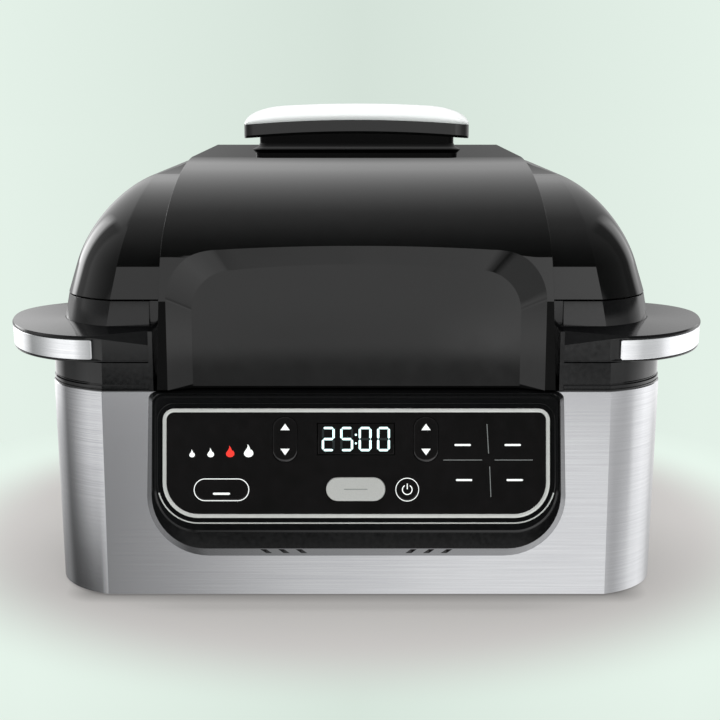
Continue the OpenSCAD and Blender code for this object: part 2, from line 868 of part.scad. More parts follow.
module digit(lit) {
  h2 = digit_h / 2;
  lines = [
    [[0, digit_h - stroke], [digit_w, stroke]], [[0, h2], [stroke, h2]],
    [[digit_w - stroke, h2], [stroke, h2]], [[0, h2 - stroke / 2], [digit_w, stroke]],
    [[0, 0], [stroke, h2]], [[digit_w - stroke, 0], [stroke, h2]], [[0, 0], [digit_w, stroke]]
  ];
  for (i = [0:6])
    if (lit[i] == 1) translate(lines[i][0]) square(lines[i][1]);
}

module display_digits() {
  places = len(shown);
  left = display_box[0] + (display_box[2] - (places - 1) * digit_pitch - digit_w) / 2;
  middle = (places / 2 - 0.5) * digit_pitch + digit_w / 2;
  color("#dff6f2")
    on_face()
      translate([left, display_box[1] + (display_box[3] - digit_h) / 2, -0.2])
        linear_extrude(0.3) {
          for (i = [0:places - 1]) translate([i * digit_pitch, 0]) digit(shown[i]);
          for (y = [0.25, 0.65])
            translate([middle - stroke / 2, y * digit_h]) square(stroke);
        }
}

switch_h = 1.9;

// Rockers turn on a round rib, whose axis lies at this height under the panel's face
rocker_top = 0.4;
rocker_gap = 0.8;
pivot_r = 1;
rocker_z = -glass_t - rocker_gap - flange_t;

module control_board() {
  edge = frame_bar + 1;
  color("#1f5a3a")
    on_face() {
      translate([0, 0, board_back])
        linear_extrude(board_t) polygon(frame_outline(edge + 1));
      for (p = [start_pill, power_pill, grill_pill])
        translate([p[0] - 3, p[1] - 3, board_front]) cube([6, 6, switch_h]);
      for (p = rocker_pills)
        translate([p[0], p[1], board_front])
          cylinder(r = 2, h = rocker_z - pivot_r - 0.1 - board_front);
    }
}

module push_key(p) {
  flange_top = -glass_t - key_gap;
  on_face() {
    translate([0, 0, flange_top])
      linear_extrude(cap_proud - flange_top) pill(p);
    translate([0, 0, flange_top - flange_t])
      linear_extrude(flange_t) pill(p, 1.2);
    translate([p[0], p[1], board_front + switch_h + key_travel + 0.1])
      cylinder(r = 2, h = flange_top - board_front - switch_h - key_travel - 0.1);
  }
}

module start_key() {
  color("#b9bbbd") push_key(start_pill);
}

module power_key() {
  color("#141516") push_key(power_pill);
}

module grill_key() {
  color("#141516") push_key(grill_pill);
}

module rocker(p) {
  on_face() {
    translate([0, 0, rocker_z + flange_t])
      linear_extrude(rocker_top - rocker_z - flange_t) rocker_outline(p);
    translate([0, 0, rocker_z])
      linear_extrude(flange_t) rocker_outline(p, 1);
    translate([p[0] - 4, p[1], rocker_z]) rotate([0, 90, 0]) cylinder(r = pivot_r, h = 8);
  }
}

module temperature_rocker() {
  color("#141516") rocker(rocker_pills[0]);
}

module timer_rocker() {
  color("#141516") rocker(rocker_pills[1]);
}

switch_x = 84;

module lid_switch() {
  color("#303133")
    translate([switch_x, -notch_back + wall, flange_z - wall - 12])
      cube([16, tub_y0 - shield_gap + notch_back - wall - lift_gap, 12]);
}

// ---------------------------------------------------------------- hood

hood_steps = 8;
hood_turn = 80;
side_draft = 0.34;
side_shoulder = 31;
crease_draft = 0.2346;
crease_in = 31.4;
top_in = 14;
top_back_in = 21;

function hood_levels() = concat([-1], [for (i = [0:hood_steps]) hood_turn * i / hood_steps]);
function level_z(a) =
  a < 0 ? hood_z : hood_curve_z + hood_curve_h * sin(a) / sin(hood_turn);
function curve_share(a) = a < 0 ? 0 : (1 - cos(a)) / (1 - cos(hood_turn));
function level_front(a) = hood_front - hood_curve_d * curve_share(a);
function level_back(a) = hood_back - top_back_in * curve_share(a);
function level_half(a) =
  let (up = max(0, level_z(a) - hood_curve_z) / (hood_curve_h + 1.5))
  hood_w / 2 - side_draft * (level_z(a) - hood_z)
    - side_shoulder * (1 - sqrt(max(0, 1 - up * up)));
function level_crease(a) = hood_w / 2 - crease_in - crease_draft * (level_z(a) - hood_z);

// Hood section at one level, its wall surface moved inwards by t
function hood_ring(a, t) =
  let (hw = level_half(a), r = max(1.2, (hw - level_crease(a)) / (1 - sin(crease))),
       rr = max(4, back_corner_r - 4 - 34 * curve_share(a)), drop = a < 0 ? 0 : t * sin(a))
  at_height(plan(hw - t, level_front(a) - t, level_back(a) - t, max(0.4, r - t),
                 max(0.4, rr - t)), level_z(a) - drop);

function hood_cap(t) =
  at_height(plan(level_half(hood_turn) - top_in - t, level_front(hood_turn) - top_in - t,
                 level_back(hood_turn) - top_in - t, max(0.4, 1.2 - t), max(0.4, 4 - t)),
            hood_top_z - t);

vent_w = 120;
vent_z0 = hood_curve_z - 2;
vent_h = 16;

module hood_shell() {
  levels = hood_levels();
  color("#121314")
    difference() {
      skin(concat(
        [hood_cap(hood_wall)],
        [for (i = [len(levels) - 1:-1:0]) hood_ring(levels[i], hood_wall)],
        [for (a = levels) hood_ring(a, 0)],
        [hood_cap(0)]));
      translate([-vent_w / 2, hood_back - 20, vent_z0]) cube([vent_w, 40, vent_h]);
    }
}

// Side line of the raised band, outside (t = 0) or moved inwards by t
band_steps = 9;
band_turn = 84;

function band_line(t) = concat(
  [[band_y0 + t, apron_z]],
  [for (i = [0:band_steps]) let (a = band_turn * i / band_steps)
    [band_y0 + t + (band_y1 - band_y0) * (1 - cos(a)) / (1 - cos(band_turn)),
     band_curve_z + (band_top_z - band_curve_z - t) * sin(a) / sin(band_turn)]],
  [[band_rear_y, band_top_z + band_rear_rise - t]],
  [for (i = [1:4]) let (a = 75 * i / 4)
    [band_rear_y + (band_end_y - t - band_rear_y) * sin(a) / sin(75),
     band_top_z + band_rear_rise - t - band_tail_h * (1 - cos(a)) / (1 - cos(75))]]);

band_foot_z = band_top_z + band_rear_rise - band_tail_h;

// The hood's own side line across the middle, moved outwards by t
function hood_line(t) = concat(
  [[-hood_front - t, 0], [-hood_front - t, hood_z]],
  [for (i = [0:hood_steps]) let (a = hood_turn * i / hood_steps)
    [-level_front(a) - t * cos(a), level_z(a) + t * sin(a)]],
  [[-level_front(hood_turn) + top_in, hood_top_z + t],
   [level_back(hood_turn) - top_in, hood_top_z + t]],
  [for (i = [hood_steps:-1:0]) let (a = hood_turn * i / hood_steps)
    [level_back(a) + t * cos(a), level_z(a) + t * sin(a)]],
  [[hood_back + t, 0]]);

// Front outline of apron and band, moved inwards by t
function apron_front(t) =
  let (lo = apron_w / 2 - t, mid = apron_w / 2 - 2.5 - t, hi = band_w / 2 - t)
  [[-lo, apron_z - 10], [lo, apron_z - 10], [lo, apron_z], [mid, hood_curve_z - 4],
   [hi, band_top_z - 2], [hi, big], [-hi, big], [-hi, band_top_z - 2],
   [-mid, hood_curve_z - 4], [-lo, apron_z]];

// Outline of the arched recess in the apron, moved inwards by t
arch_top = band_curve_z + 9;
function arch_outline(t) =
  let (hw = arch_hw - t, top = arch_top - t, r = 30 - t / 2)
  concat(
    [[-hw, apron_z - 20], [hw, apron_z - 20]],
    [for (i = [0:6]) let (a = 90 * i / 6) [hw - r + r * cos(a), top - r + r * sin(a)]],
    [for (i = [0:6]) let (a = 90 + 90 * i / 6) [-hw + r + r * cos(a), top - r + r * sin(a)]]);

module arch_recess() {
  slant = [for (p = arch_outline(0)) [p[0], band_y0 - 30, p[1]]];
  edge = [for (p = arch_outline(0)) [p[0], band_y0 - eps, p[1]]];
  deep = [for (p = arch_outline(arch_bevel)) [p[0], band_y0 + arch_depth, p[1]]];
  skin([deep, edge, slant]);
}

module hood_band() {
  color("#0d0e0f")
    difference() {
      intersection() {
        across(concat(band_line(0), [[band_end_y, band_foot_z - 5], [0, band_foot_z - 5],
                                     [0, apron_z]]), apron_w);
        along(apron_front(0), -big / 2, big / 2);
      }
      intersection() {
        across(concat([[band_y0 + band_wall + arch_depth, apron_z - 5]],
                      [for (p = band_line(band_wall)) if (p[1] > arch_top + 2) p],
                      [[band_end_y - band_wall, band_foot_z - 20], [0, 0]]), apron_w);
        along(apron_front(band_wall), -big / 2, big / 2);
      }
      across(hood_line(0.3), apron_w);
      translate([-apron_w, apron_back_y, 0]) cube([2 * apron_w, big, hood_z + 1]);
      arch_recess();
    }
}

module apron_back() {
  t = 2;
  color("#151617")
    intersection() {
      translate([-apron_w, apron_back_y - t, apron_z])
        cube([2 * apron_w, t, band_curve_z - apron_z - 1]);
      along(apron_front(band_wall + 0.05), -big / 2, big / 2);
    }
}

module hood_liner() {
  inset = hood_wall + 0.5 + side_draft * 2.5;
  outer = plan(hood_w / 2 - inset, hood_front - inset, hood_back - inset, corner_r - 6,
               back_corner_r - 8);
  color("#9b9da0")
    difference() {
      union() {
        slab(outer, liner_z, liner_z + liner_t);
        slab(rrect(hollow_hw + liner_t, hollow_y0 - liner_t, hollow_y1 + liner_t,
                   tub_r + liner_t), liner_z, hollow_top + liner_t);
      }
      slab(rrect(hollow_hw, hollow_y0, hollow_y1, tub_r), 0, hollow_top);
      translate([0, pot_y, 0]) cylinder(r = 5, h = big);
      at_coil_ends() cylinder(r = coil_r + 0.2, h = big);
      translate([0, probe_y, 0]) cylinder(r = 2.1, h = big);
    }
}

module hood_gasket() {
  g = 1.6;
  color("#3b3c3e")
    tube_wall(rrect(hollow_hw + 6, hollow_y0 - 6, hollow_y1 + 6, tub_r + 6),
              rrect(hollow_hw + g, hollow_y0 - g, hollow_y1 + g, tub_r + g),
              collar_top + lift_gap, liner_z);
}

// Flat spiral of the heating element
coil_steps = 20;
function coil_point(i) =
  let (n = coil_steps * coil_turns, a = 360 * i / coil_steps,
       r = coil_out + (coil_in - coil_out) * i / n)
  [r * cos(a), pot_y + r * sin(a), coil_z, a];

module at_coil_ends() {
  for (i = [0, coil_steps * coil_turns])
    let (p = coil_point(i)) translate([p[0], p[1], 0]) children();
}

module heating_coil() {
  sides = 8;
  color("#5b5a58") {
    skin([for (i = [0:coil_steps * coil_turns]) let (p = coil_point(i))
      [for (j = [0:sides - 1]) let (b = -360 * j / sides)
        [p[0] + coil_r * cos(b) * cos(p[3]), p[1] + coil_r * cos(b) * sin(p[3]),
         p[2] + coil_r * sin(b)]]]);
    at_coil_ends() translate([0, 0, coil_z]) cylinder(r = coil_r, h = hollow_top - coil_z + 10);
  }
}

clip_w = 8;

module coil_clips() {
  color("#aeb0b2")
    for (a = [60, 180, 300])
      translate([0, pot_y, 0]) rotate([0, 0, a])
        difference() {
          union() {
            translate([coil_in - 12, -clip_w / 2, coil_z + coil_r + 0.1])
              cube([coil_out - coil_in + 20, clip_w, 1.2]);
            translate([coil_out + 6, -clip_w / 2, coil_z + coil_r + 0.1])
              cube([1.2, clip_w, hollow_top - coil_z - coil_r - 0.1]);
            translate([coil_in - 12, -clip_w / 2, coil_z + coil_r + 0.1])
              cube([1.2, clip_w, 2]);
          }
        }
}

probe_y = pot_y - fan_r - 9;

module temperature_probe() {
  color("#c0c2c4")
    translate([0, probe_y, 0]) {
      translate([0, 0, hollow_top - 12]) cylinder(r = 2, h = 12 + liner_t);
      translate([0, 0, hollow_top + liner_t]) cylinder(r = 5, h = 3);
    }
}

bracket_t = 1.5;
motor_z = hollow_top + liner_t + bracket_t + 4;
motor_h = hood_top_z - hood_wall - motor_gap - motor_z;

module motor_bracket() {
  color("#a4a6a8")
    translate([0, pot_y, 0])
      difference() {
        union() {
          translate([0, 0, motor_z - bracket_t]) cylinder(r = motor_r + 8, h = bracket_t);
          for (a = [0, 120, 240]) rotate([0, 0, a])
            translate([motor_r + 3, 0, hollow_top + liner_t])
              cylinder(r = 4, h = motor_z - hollow_top - liner_t - bracket_t + eps);
        }
        cylinder(r = 9, h = big);
      }
}

module fan_motor() {
  color("#6f7173")
    translate([0, pot_y, 0])
      difference() {
        union() {
          translate([0, 0, motor_z]) cylinder(r = motor_r, h = motor_h);
          translate([0, 0, motor_z - 2.5]) cylinder(r = 8, h = 3);
        }
        translate([0, 0, motor_z - 5]) cylinder(r = shaft_r + run_gap, h = motor_h - 4);
      }
}

module fan_shaft() {
  color("#d0d2d4")
    translate([0, pot_y, fan_z - 3])
      cylinder(r = shaft_r, h = motor_z + motor_h - 10 - fan_z + 3);
}

module air_fan() {
  color("#b4b6b8")
    translate([0, pot_y, fan_z]) {
      difference() {
        union() {
          translate([0, 0, fan_h - 1.2]) cylinder(r = fan_r, h = 1.2);
          cylinder(r = 8, h = fan_h);
          for (i = [0:fan_blades - 1]) rotate([0, 0, 360 * i / fan_blades])
            translate([fan_r * 0.36, 0, 0]) rotate([0, 0, 18])
              cube([fan_r * 0.58, 1.2, fan_h]);
        }
        translate([0, 0, -1]) cylinder(r = shaft_r, h = fan_h + 2);
      }
    }
}

module splatter_shield() {
  t = 1;
  gap = 0.5;
  slots = 28;
  color("#b0b2b4")
    difference() {
      slab(rrect(hollow_hw - gap, hollow_y0 + gap, hollow_y1 - gap, tub_r - gap), shield_z0,
           shield_z0 + t);
      translate([0, pot_y, 0])
        for (i = [0:slots - 1]) rotate([0, 0, 360 * i / slots])
          translate([50, -2.5, 0]) cube([i % 2 == 0 ? 42 : 30, 5, big]);
      translate([0, pot_y, 0]) cylinder(r = 12, h = big);
    }
}

module rear_vent() {
  lip = 3;
  t = 1.5;
  color("#1a1b1c")
    difference() {
      union() {
        translate([-vent_w / 2 - lip, hood_back + 0.1, vent_z0 - lip])
          cube([vent_w + 2 * lip, t, vent_h + 2 * lip]);
        translate([-vent_w / 2 + 0.3, hood_back - hood_wall, vent_z0 + 0.3])
          cube([vent_w - 0.6, hood_wall + 1, vent_h - 0.6]);
      }
      for (i = [0:1], j = [0:3])
        translate([-vent_w / 2 + 4 + j * (vent_w - 6) / 4, hood_back - 20, vent_z0 + 3 + i * 6])
          cube([(vent_w - 6) / 4 - 4, 40, 3.4]);
    }
}

// ---------------------------------------------------------------- handle

// Arch of the handle: highest in the middle
function arch_z(x) = 3 * (1 - pow(x / (handle_w / 2), 2));

handle_r = 9;
handle_ends = [0, 0.8, 2.8, 6, handle_r];
handle_mid = 6;

// Stations along the handle: the rounded ends, then even steps between them
function handle_stations() =
  let (hw = handle_w / 2, flat = hw - handle_r)
  concat([for (e = handle_ends) e - hw],
         [for (i = [1:handle_mid - 1]) -flat + 2 * flat * i / handle_mid],
         [for (i = [len(handle_ends) - 1:-1:0]) hw - handle_ends[i]]);

// How far the rounded ends draw in the front and back edges
function end_in(x) =
  let (d = max(0, abs(x) - handle_w / 2 + handle_r)) handle_r - sqrt(handle_r * handle_r - d * d);

// Share of the cap's height at a station, and at a share v of the way across
function cap_end(x) =
  let (s = min(1, (handle_w / 2 - abs(x)) / 24)) 0.12 + 0.88 * sqrt(1 - (1 - s) * (1 - s));
function cap_across(v) = pow(sin(180 * v), 0.55);
cap_shares = [0, 0.05, 0.14, 0.28, 0.45, 0.62, 0.78, 0.9, 0.97, 1];
cap_edge = 0.6;

grip_z = handle_pad_z + finger_gap;
pedestal_in = 7;
finger_d = 20;
pedestal_y0 = handle_y0 + finger_d;

module handle_base() {
  hw = handle_w / 2 - pedestal_in;
  color("#141516") {
    difference() {
      slab(rrect(hw + 1.2, pedestal_y0, handle_y1 - 2, 6), band_top_z - 4, handle_pad_z + pad_h);
      across(concat(band_line(-0.05), [[band_end_y, 0], [band_y0, 0]]), handle_w);
    }
    slab(rrect(hw - 2, pedestal_y0 + 7, handle_y1 - 4, 5), handle_pad_z + pad_h - 1,
         grip_z + 2.6);
  }
}

module handle_grip() {
  hw = handle_w / 2 - pedestal_in;
  color("#101112")
    difference() {
      skin([for (x = handle_stations())
        let (z = grip_z + arch_z(x), y0 = handle_y0 + end_in(x), y1 = handle_y1 - end_in(x))
        [[x, y0, z], [x, y1, z], [x, y1, z + grip_t], [x, y0, z + grip_t]]]);
      slab(rrect(hw - 1.9, pedestal_y0 + 6.9, handle_y1 - 3.9, 5), 0, grip_z + 2.7);
    }
}

module handle_cap() {
  color("#e3e4e5")
    skin([for (x = handle_stations())
      let (z = grip_z + grip_t + arch_z(x) + 0.02, y0 = handle_y0 + end_in(x) + 0.3,
           y1 = handle_y1 - end_in(x) - 0.3)
      concat(
        [[x, y0, z], [x, y1, z]],
        [for (k = [len(cap_shares) - 1:-1:0]) let (v = cap_shares[k])
          [x, y0 + (y1 - y0) * v,
           z + cap_edge + (cap_h - cap_edge) * cap_end(x) * cap_across(v)]])]);
}

// ---------------------------------------------------------------- hinge

module at_hinges() {
  for (x = [-hinge_x, hinge_x]) translate([x, hinge_y, hinge_z]) children();
}

module hinge_brackets() {
  r = knuckle_r;
  base_z = deck_z - hinge_z;
  color("#8a8c8e")
    at_hinges()
      difference() {
        for (s = [-1, 1])
          translate([s > 0 ? ear_x : -ear_x - ear_t, 0, 0]) {
            rotate([0, 90, 0]) cylinder(r = r, h = ear_t);
            translate([0, -r, base_z - 4.5]) cube([ear_t, 2 * r, 4.5 - base_z]);
          }
        translate([-big / 2, 0, 0]) rotate([0, 90, 0]) cylinder(r = pin_r, h = big);
      }
}

module hinge_pins() {
  length = knuckle_w + 2 * (ear_gap + ear_t) + 2;
  color("#c8cacc")
    at_hinges()
      translate([-length / 2, 0, 0]) rotate([0, 90, 0]) cylinder(r = pin_r, h = length);
}

module hinge_arms() {
  plate_h = 22;
  plate_y = hood_back + 0.1 - hinge_y;
  foot_z = hood_z + 1 - hinge_z;
  color("#7f8183")
    at_hinges()
      difference() {
        union() {
          translate([-knuckle_w / 2, 0, 0]) rotate([0, 90, 0])
            cylinder(r = knuckle_r, h = knuckle_w);
          translate([-knuckle_w / 2, plate_y, foot_z]) cube([knuckle_w, 3, plate_h]);
          translate([-knuckle_w / 2, plate_y, foot_z])
            cube([knuckle_w, -plate_y, knuckle_r - foot_z]);
        }
        translate([-big / 2, 0, 0]) rotate([0, 90, 0]) cylinder(r = pin_r + run_gap, h = big);
      }
}

// ---------------------------------------------------------------- the part

feet();
base_pan();
steel_wrap();
rear_cover();
rim_band();
upper_frame();
side_handle_left();
side_handle_right();
handle_trim_left();
handle_trim_right();
heat_chamber();
heat_shield();
power_board();
control_housing();
control_bezel();
panel_trim();
panel_glass();
display_module();
display_digits();
control_board();
start_key();
power_key();
grill_key();
temperature_rocker();
timer_rocker();
hinge_brackets();
hinge_pins();
cord_gland();
lid_switch();
base_screws();
cooking_pot();
grill_grate();
hood_shell();
hood_band();
apron_back();
hood_liner();
hood_gasket();
heating_coil();
coil_clips();
motor_bracket();
fan_motor();
splatter_shield();
temperature_probe();
handle_base();
handle_grip();
handle_cap();
rear_vent();
hinge_arms();
air_fan();
fan_shaft();
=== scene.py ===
"""Looks of an electric indoor grill with a hinged hood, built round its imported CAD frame.

Sizes are millimetres in the frame's own axes until a mesh is made: X right, Y back, Z up.
"""

import logging
import math
from dataclasses import dataclass, field
from enum import Enum
from typing import Any, Iterable, Sequence

import bmesh
import bpy
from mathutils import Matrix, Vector


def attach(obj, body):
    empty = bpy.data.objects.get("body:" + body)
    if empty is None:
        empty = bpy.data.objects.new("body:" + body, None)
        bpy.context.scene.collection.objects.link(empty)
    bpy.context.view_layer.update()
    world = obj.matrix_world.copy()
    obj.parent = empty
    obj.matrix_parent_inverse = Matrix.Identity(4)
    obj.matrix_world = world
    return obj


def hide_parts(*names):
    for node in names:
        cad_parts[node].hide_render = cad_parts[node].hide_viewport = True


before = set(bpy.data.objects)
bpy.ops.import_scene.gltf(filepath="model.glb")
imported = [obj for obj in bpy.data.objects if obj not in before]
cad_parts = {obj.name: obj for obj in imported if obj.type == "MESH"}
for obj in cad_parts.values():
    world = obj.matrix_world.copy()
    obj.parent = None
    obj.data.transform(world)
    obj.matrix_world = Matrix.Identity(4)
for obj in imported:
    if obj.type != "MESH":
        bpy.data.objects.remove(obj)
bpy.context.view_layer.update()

LOG = logging.getLogger("grill")
MM = 0.001
Point2 = tuple[float, float]
Point3 = tuple[float, float, float]


def sin(angle: float) -> float:
    """Sine of an angle in degrees."""
    return math.sin(math.radians(angle))


def cos(angle: float) -> float:
    """Cosine of an angle in degrees."""
    return math.cos(math.radians(angle))


def mix(a: float, b: float, share: float) -> float:
    """Value at a share of the way from a to b."""
    return a + (b - a) * share


def linear(code: str) -> tuple[float, float, float, float]:
    """Turns an sRGB hex value into linear red, green, blue and alpha.

    Args:
        code: six hex figures, with or without a leading hash.

    Returns:
        The linear colour with an alpha of one.
    """
    parts = [int(code.lstrip("#")[i:i + 2], 16) / 255 for i in (0, 2, 4)]
    red, green, blue = [p / 12.92 if p <= 0.04045 else ((p + 0.055) / 1.055) ** 2.4 for p in parts]
    return red, green, blue, 1.0


def add_node(tree: bpy.types.NodeTree, kind: str, feeds: dict[Any, Any] | None = None,
             **settings: Any) -> bpy.types.Node:
    """Adds one node with its settings and links.

    Args:
        tree: the tree that gets the node.
        kind: Blender's name for the node's type.
        feeds: socket name or number to a plain value, to the socket that feeds it or to a node
            whose first output does.
        settings: the node's own properties.

    Returns:
        The new node.
    """
    node = tree.nodes.new(kind)
    for key, value in settings.items():
        setattr(node, key, value)
    for socket, value in (feeds or {}).items():
        if isinstance(value, bpy.types.Node):
            value = value.outputs[0]
        if isinstance(value, bpy.types.NodeSocket):
            tree.links.new(value, node.inputs[socket])
        else:
            node.inputs[socket].default_value = value
    return node


def crossfade(tree: bpy.types.NodeTree, value: Any, span: Point2, before: Any, after: Any,
              least: float = 0.0, curve: str = "LINEAR") -> bpy.types.NodeSocket:
    """Makes a colour that runs from one to another while a value runs through a span.

    Args:
        tree: the node tree.
        value: the socket or node that is read.
        span: the values at which the change starts and ends.
        before: the colour up to the start, or what feeds it.
        after: the colour from the end on, or what feeds it.
        least: share of the second colour at the start.
        curve: Blender's name for how the change runs.

    Returns:
        The colour's socket.
    """
    share = add_node(tree, "ShaderNodeMapRange", {
        "Value": value, "From Min": span[0], "From Max": span[1], "To Min": least},
        interpolation_type=curve)
    return add_node(tree, "ShaderNodeMix", {0: share, 6: before, 7: after},
                    data_type="RGBA").outputs[2]


def grey_along(tree: bpy.types.NodeTree, value: Any, stops: Sequence[Point2]) -> bpy.types.Node:
    """Makes a grey that follows stops while a value runs from the first to the last of them.

    Args:
        tree: the node tree.
        value: the socket or node that is read.
        stops: pairs of value and grey level, in rising order.

    Returns:
        The node, whose first output is the grey.
    """
    first, last = stops[0][0], stops[-1][0]
    share = add_node(tree, "ShaderNodeMapRange", {
        "Value": value, "From Min": first, "From Max": last})
    node = add_node(tree, "ShaderNodeValToRGB", {0: share})
    line = node.color_ramp.elements
    while len(line) > 1:
        line.remove(line[-1])
    for i, (at, grey) in enumerate(stops):
        place = (at - first) / (last - first)
        stop = line[0] if i == 0 else line.new(place)
        stop.position, stop.color = place, (grey, grey, grey, 1)
    return node


# ---------------------------------------------------------------- finishes


PLAIN_SPECULAR = 0.5
GRAIN_SHARE = 0.6
COLOUR_SPAN = (0.32, 0.68)
GLOSS_SPAN = (0.3, 0.7)
COAT_ROUGH = 0.03
BRUSHED_ACROSS = 0.25


@dataclass(frozen=True)
class Finish:
    """A surface whose colour, gloss and relief vary with a fine grain and a wide cloud.

    Attributes:
        name: what the real material is and how its surface was made.
        base: its colour, as sRGB hex.
        shade: the colour it drifts to in the grain.
        rough: its middle roughness.
        rough_span: how far the roughness drifts either way.
        grain: size of the grain along x, y and z.
        relief: height of the grain.
        cloud: size of the wide, faint variation such as handling marks.
        metallic: one for bare metal, less under a lacquer.
        coat: weight of a clear coat.
        anisotropic: how far the shine is drawn out by brushing.
        glow: strength of its own light, in its base colour.
        specular: level of its plain shine, below the usual half for a dull skin.
    """

    name: str
    base: str
    shade: str
    rough: float
    rough_span: float
    grain: Point3
    relief: float
    cloud: float = 60
    metallic: float = 0
    coat: float = 0
    anisotropic: float = 0
    glow: float = 0
    specular: float = PLAIN_SPECULAR

    def build(self) -> bpy.types.Material:
        """Makes the node material.

        Returns:
            The material, ready to be assigned.
        """
        material = bpy.data.materials.new(self.name)
        material.use_nodes = True
        tree = material.node_tree
        tree.nodes.clear()
        where = add_node(tree, "ShaderNodeTexCoord").outputs["Object"]
        scale = [1 / (size * MM) for size in self.grain]
        fitted = add_node(tree, "ShaderNodeMapping", {"Vector": where, "Scale": scale})
        grain = add_node(tree, "ShaderNodeTexNoise", {
            "Vector": fitted, "Scale": 1.0, "Detail": 3.0})
        cloud = add_node(tree, "ShaderNodeTexNoise", {
            "Vector": where, "Scale": 1 / (self.cloud * MM), "Detail": 2.0})
        fine = add_node(tree, "ShaderNodeMath", {0: grain, 1: GRAIN_SHARE}, operation="MULTIPLY")
        noise = add_node(tree, "ShaderNodeMath", {0: cloud, 1: 1 - GRAIN_SHARE, 2: fine},
                         operation="MULTIPLY_ADD")
        colour = crossfade(tree, noise, COLOUR_SPAN, linear(self.base), linear(self.shade))
        gloss = add_node(tree, "ShaderNodeMapRange", {
            "Value": noise, "From Min": GLOSS_SPAN[0], "From Max": GLOSS_SPAN[1],
            "To Min": self.rough - self.rough_span,
            "To Max": self.rough + self.rough_span})
        feeds: dict[Any, Any] = {"Base Color": colour, "Roughness": gloss,
                                 "Metallic": self.metallic}
        if self.relief:
            feeds["Normal"] = add_node(tree, "ShaderNodeBump", {
                "Height": grain, "Strength": 1.0, "Distance": self.relief * MM})
        if self.coat:
            feeds.update({"Coat Weight": self.coat, "Coat Roughness": COAT_ROUGH})
        if self.anisotropic:
            feeds["Anisotropic"] = self.anisotropic
            feeds["Anisotropic Rotation"] = BRUSHED_ACROSS
            feeds["Tangent"] = add_node(tree, "ShaderNodeTangent", direction_type="RADIAL",
                                        axis="Z")
        if self.specular != PLAIN_SPECULAR:
            feeds["Specular IOR Level"] = self.specular
        if self.glow:
            feeds.update({"Emission Color": linear(self.base), "Emission Strength": self.glow})
        shader = add_node(tree, "ShaderNodeBsdfPrincipled", feeds)
        add_node(tree, "ShaderNodeOutputMaterial", {"Surface": shader})
        return material


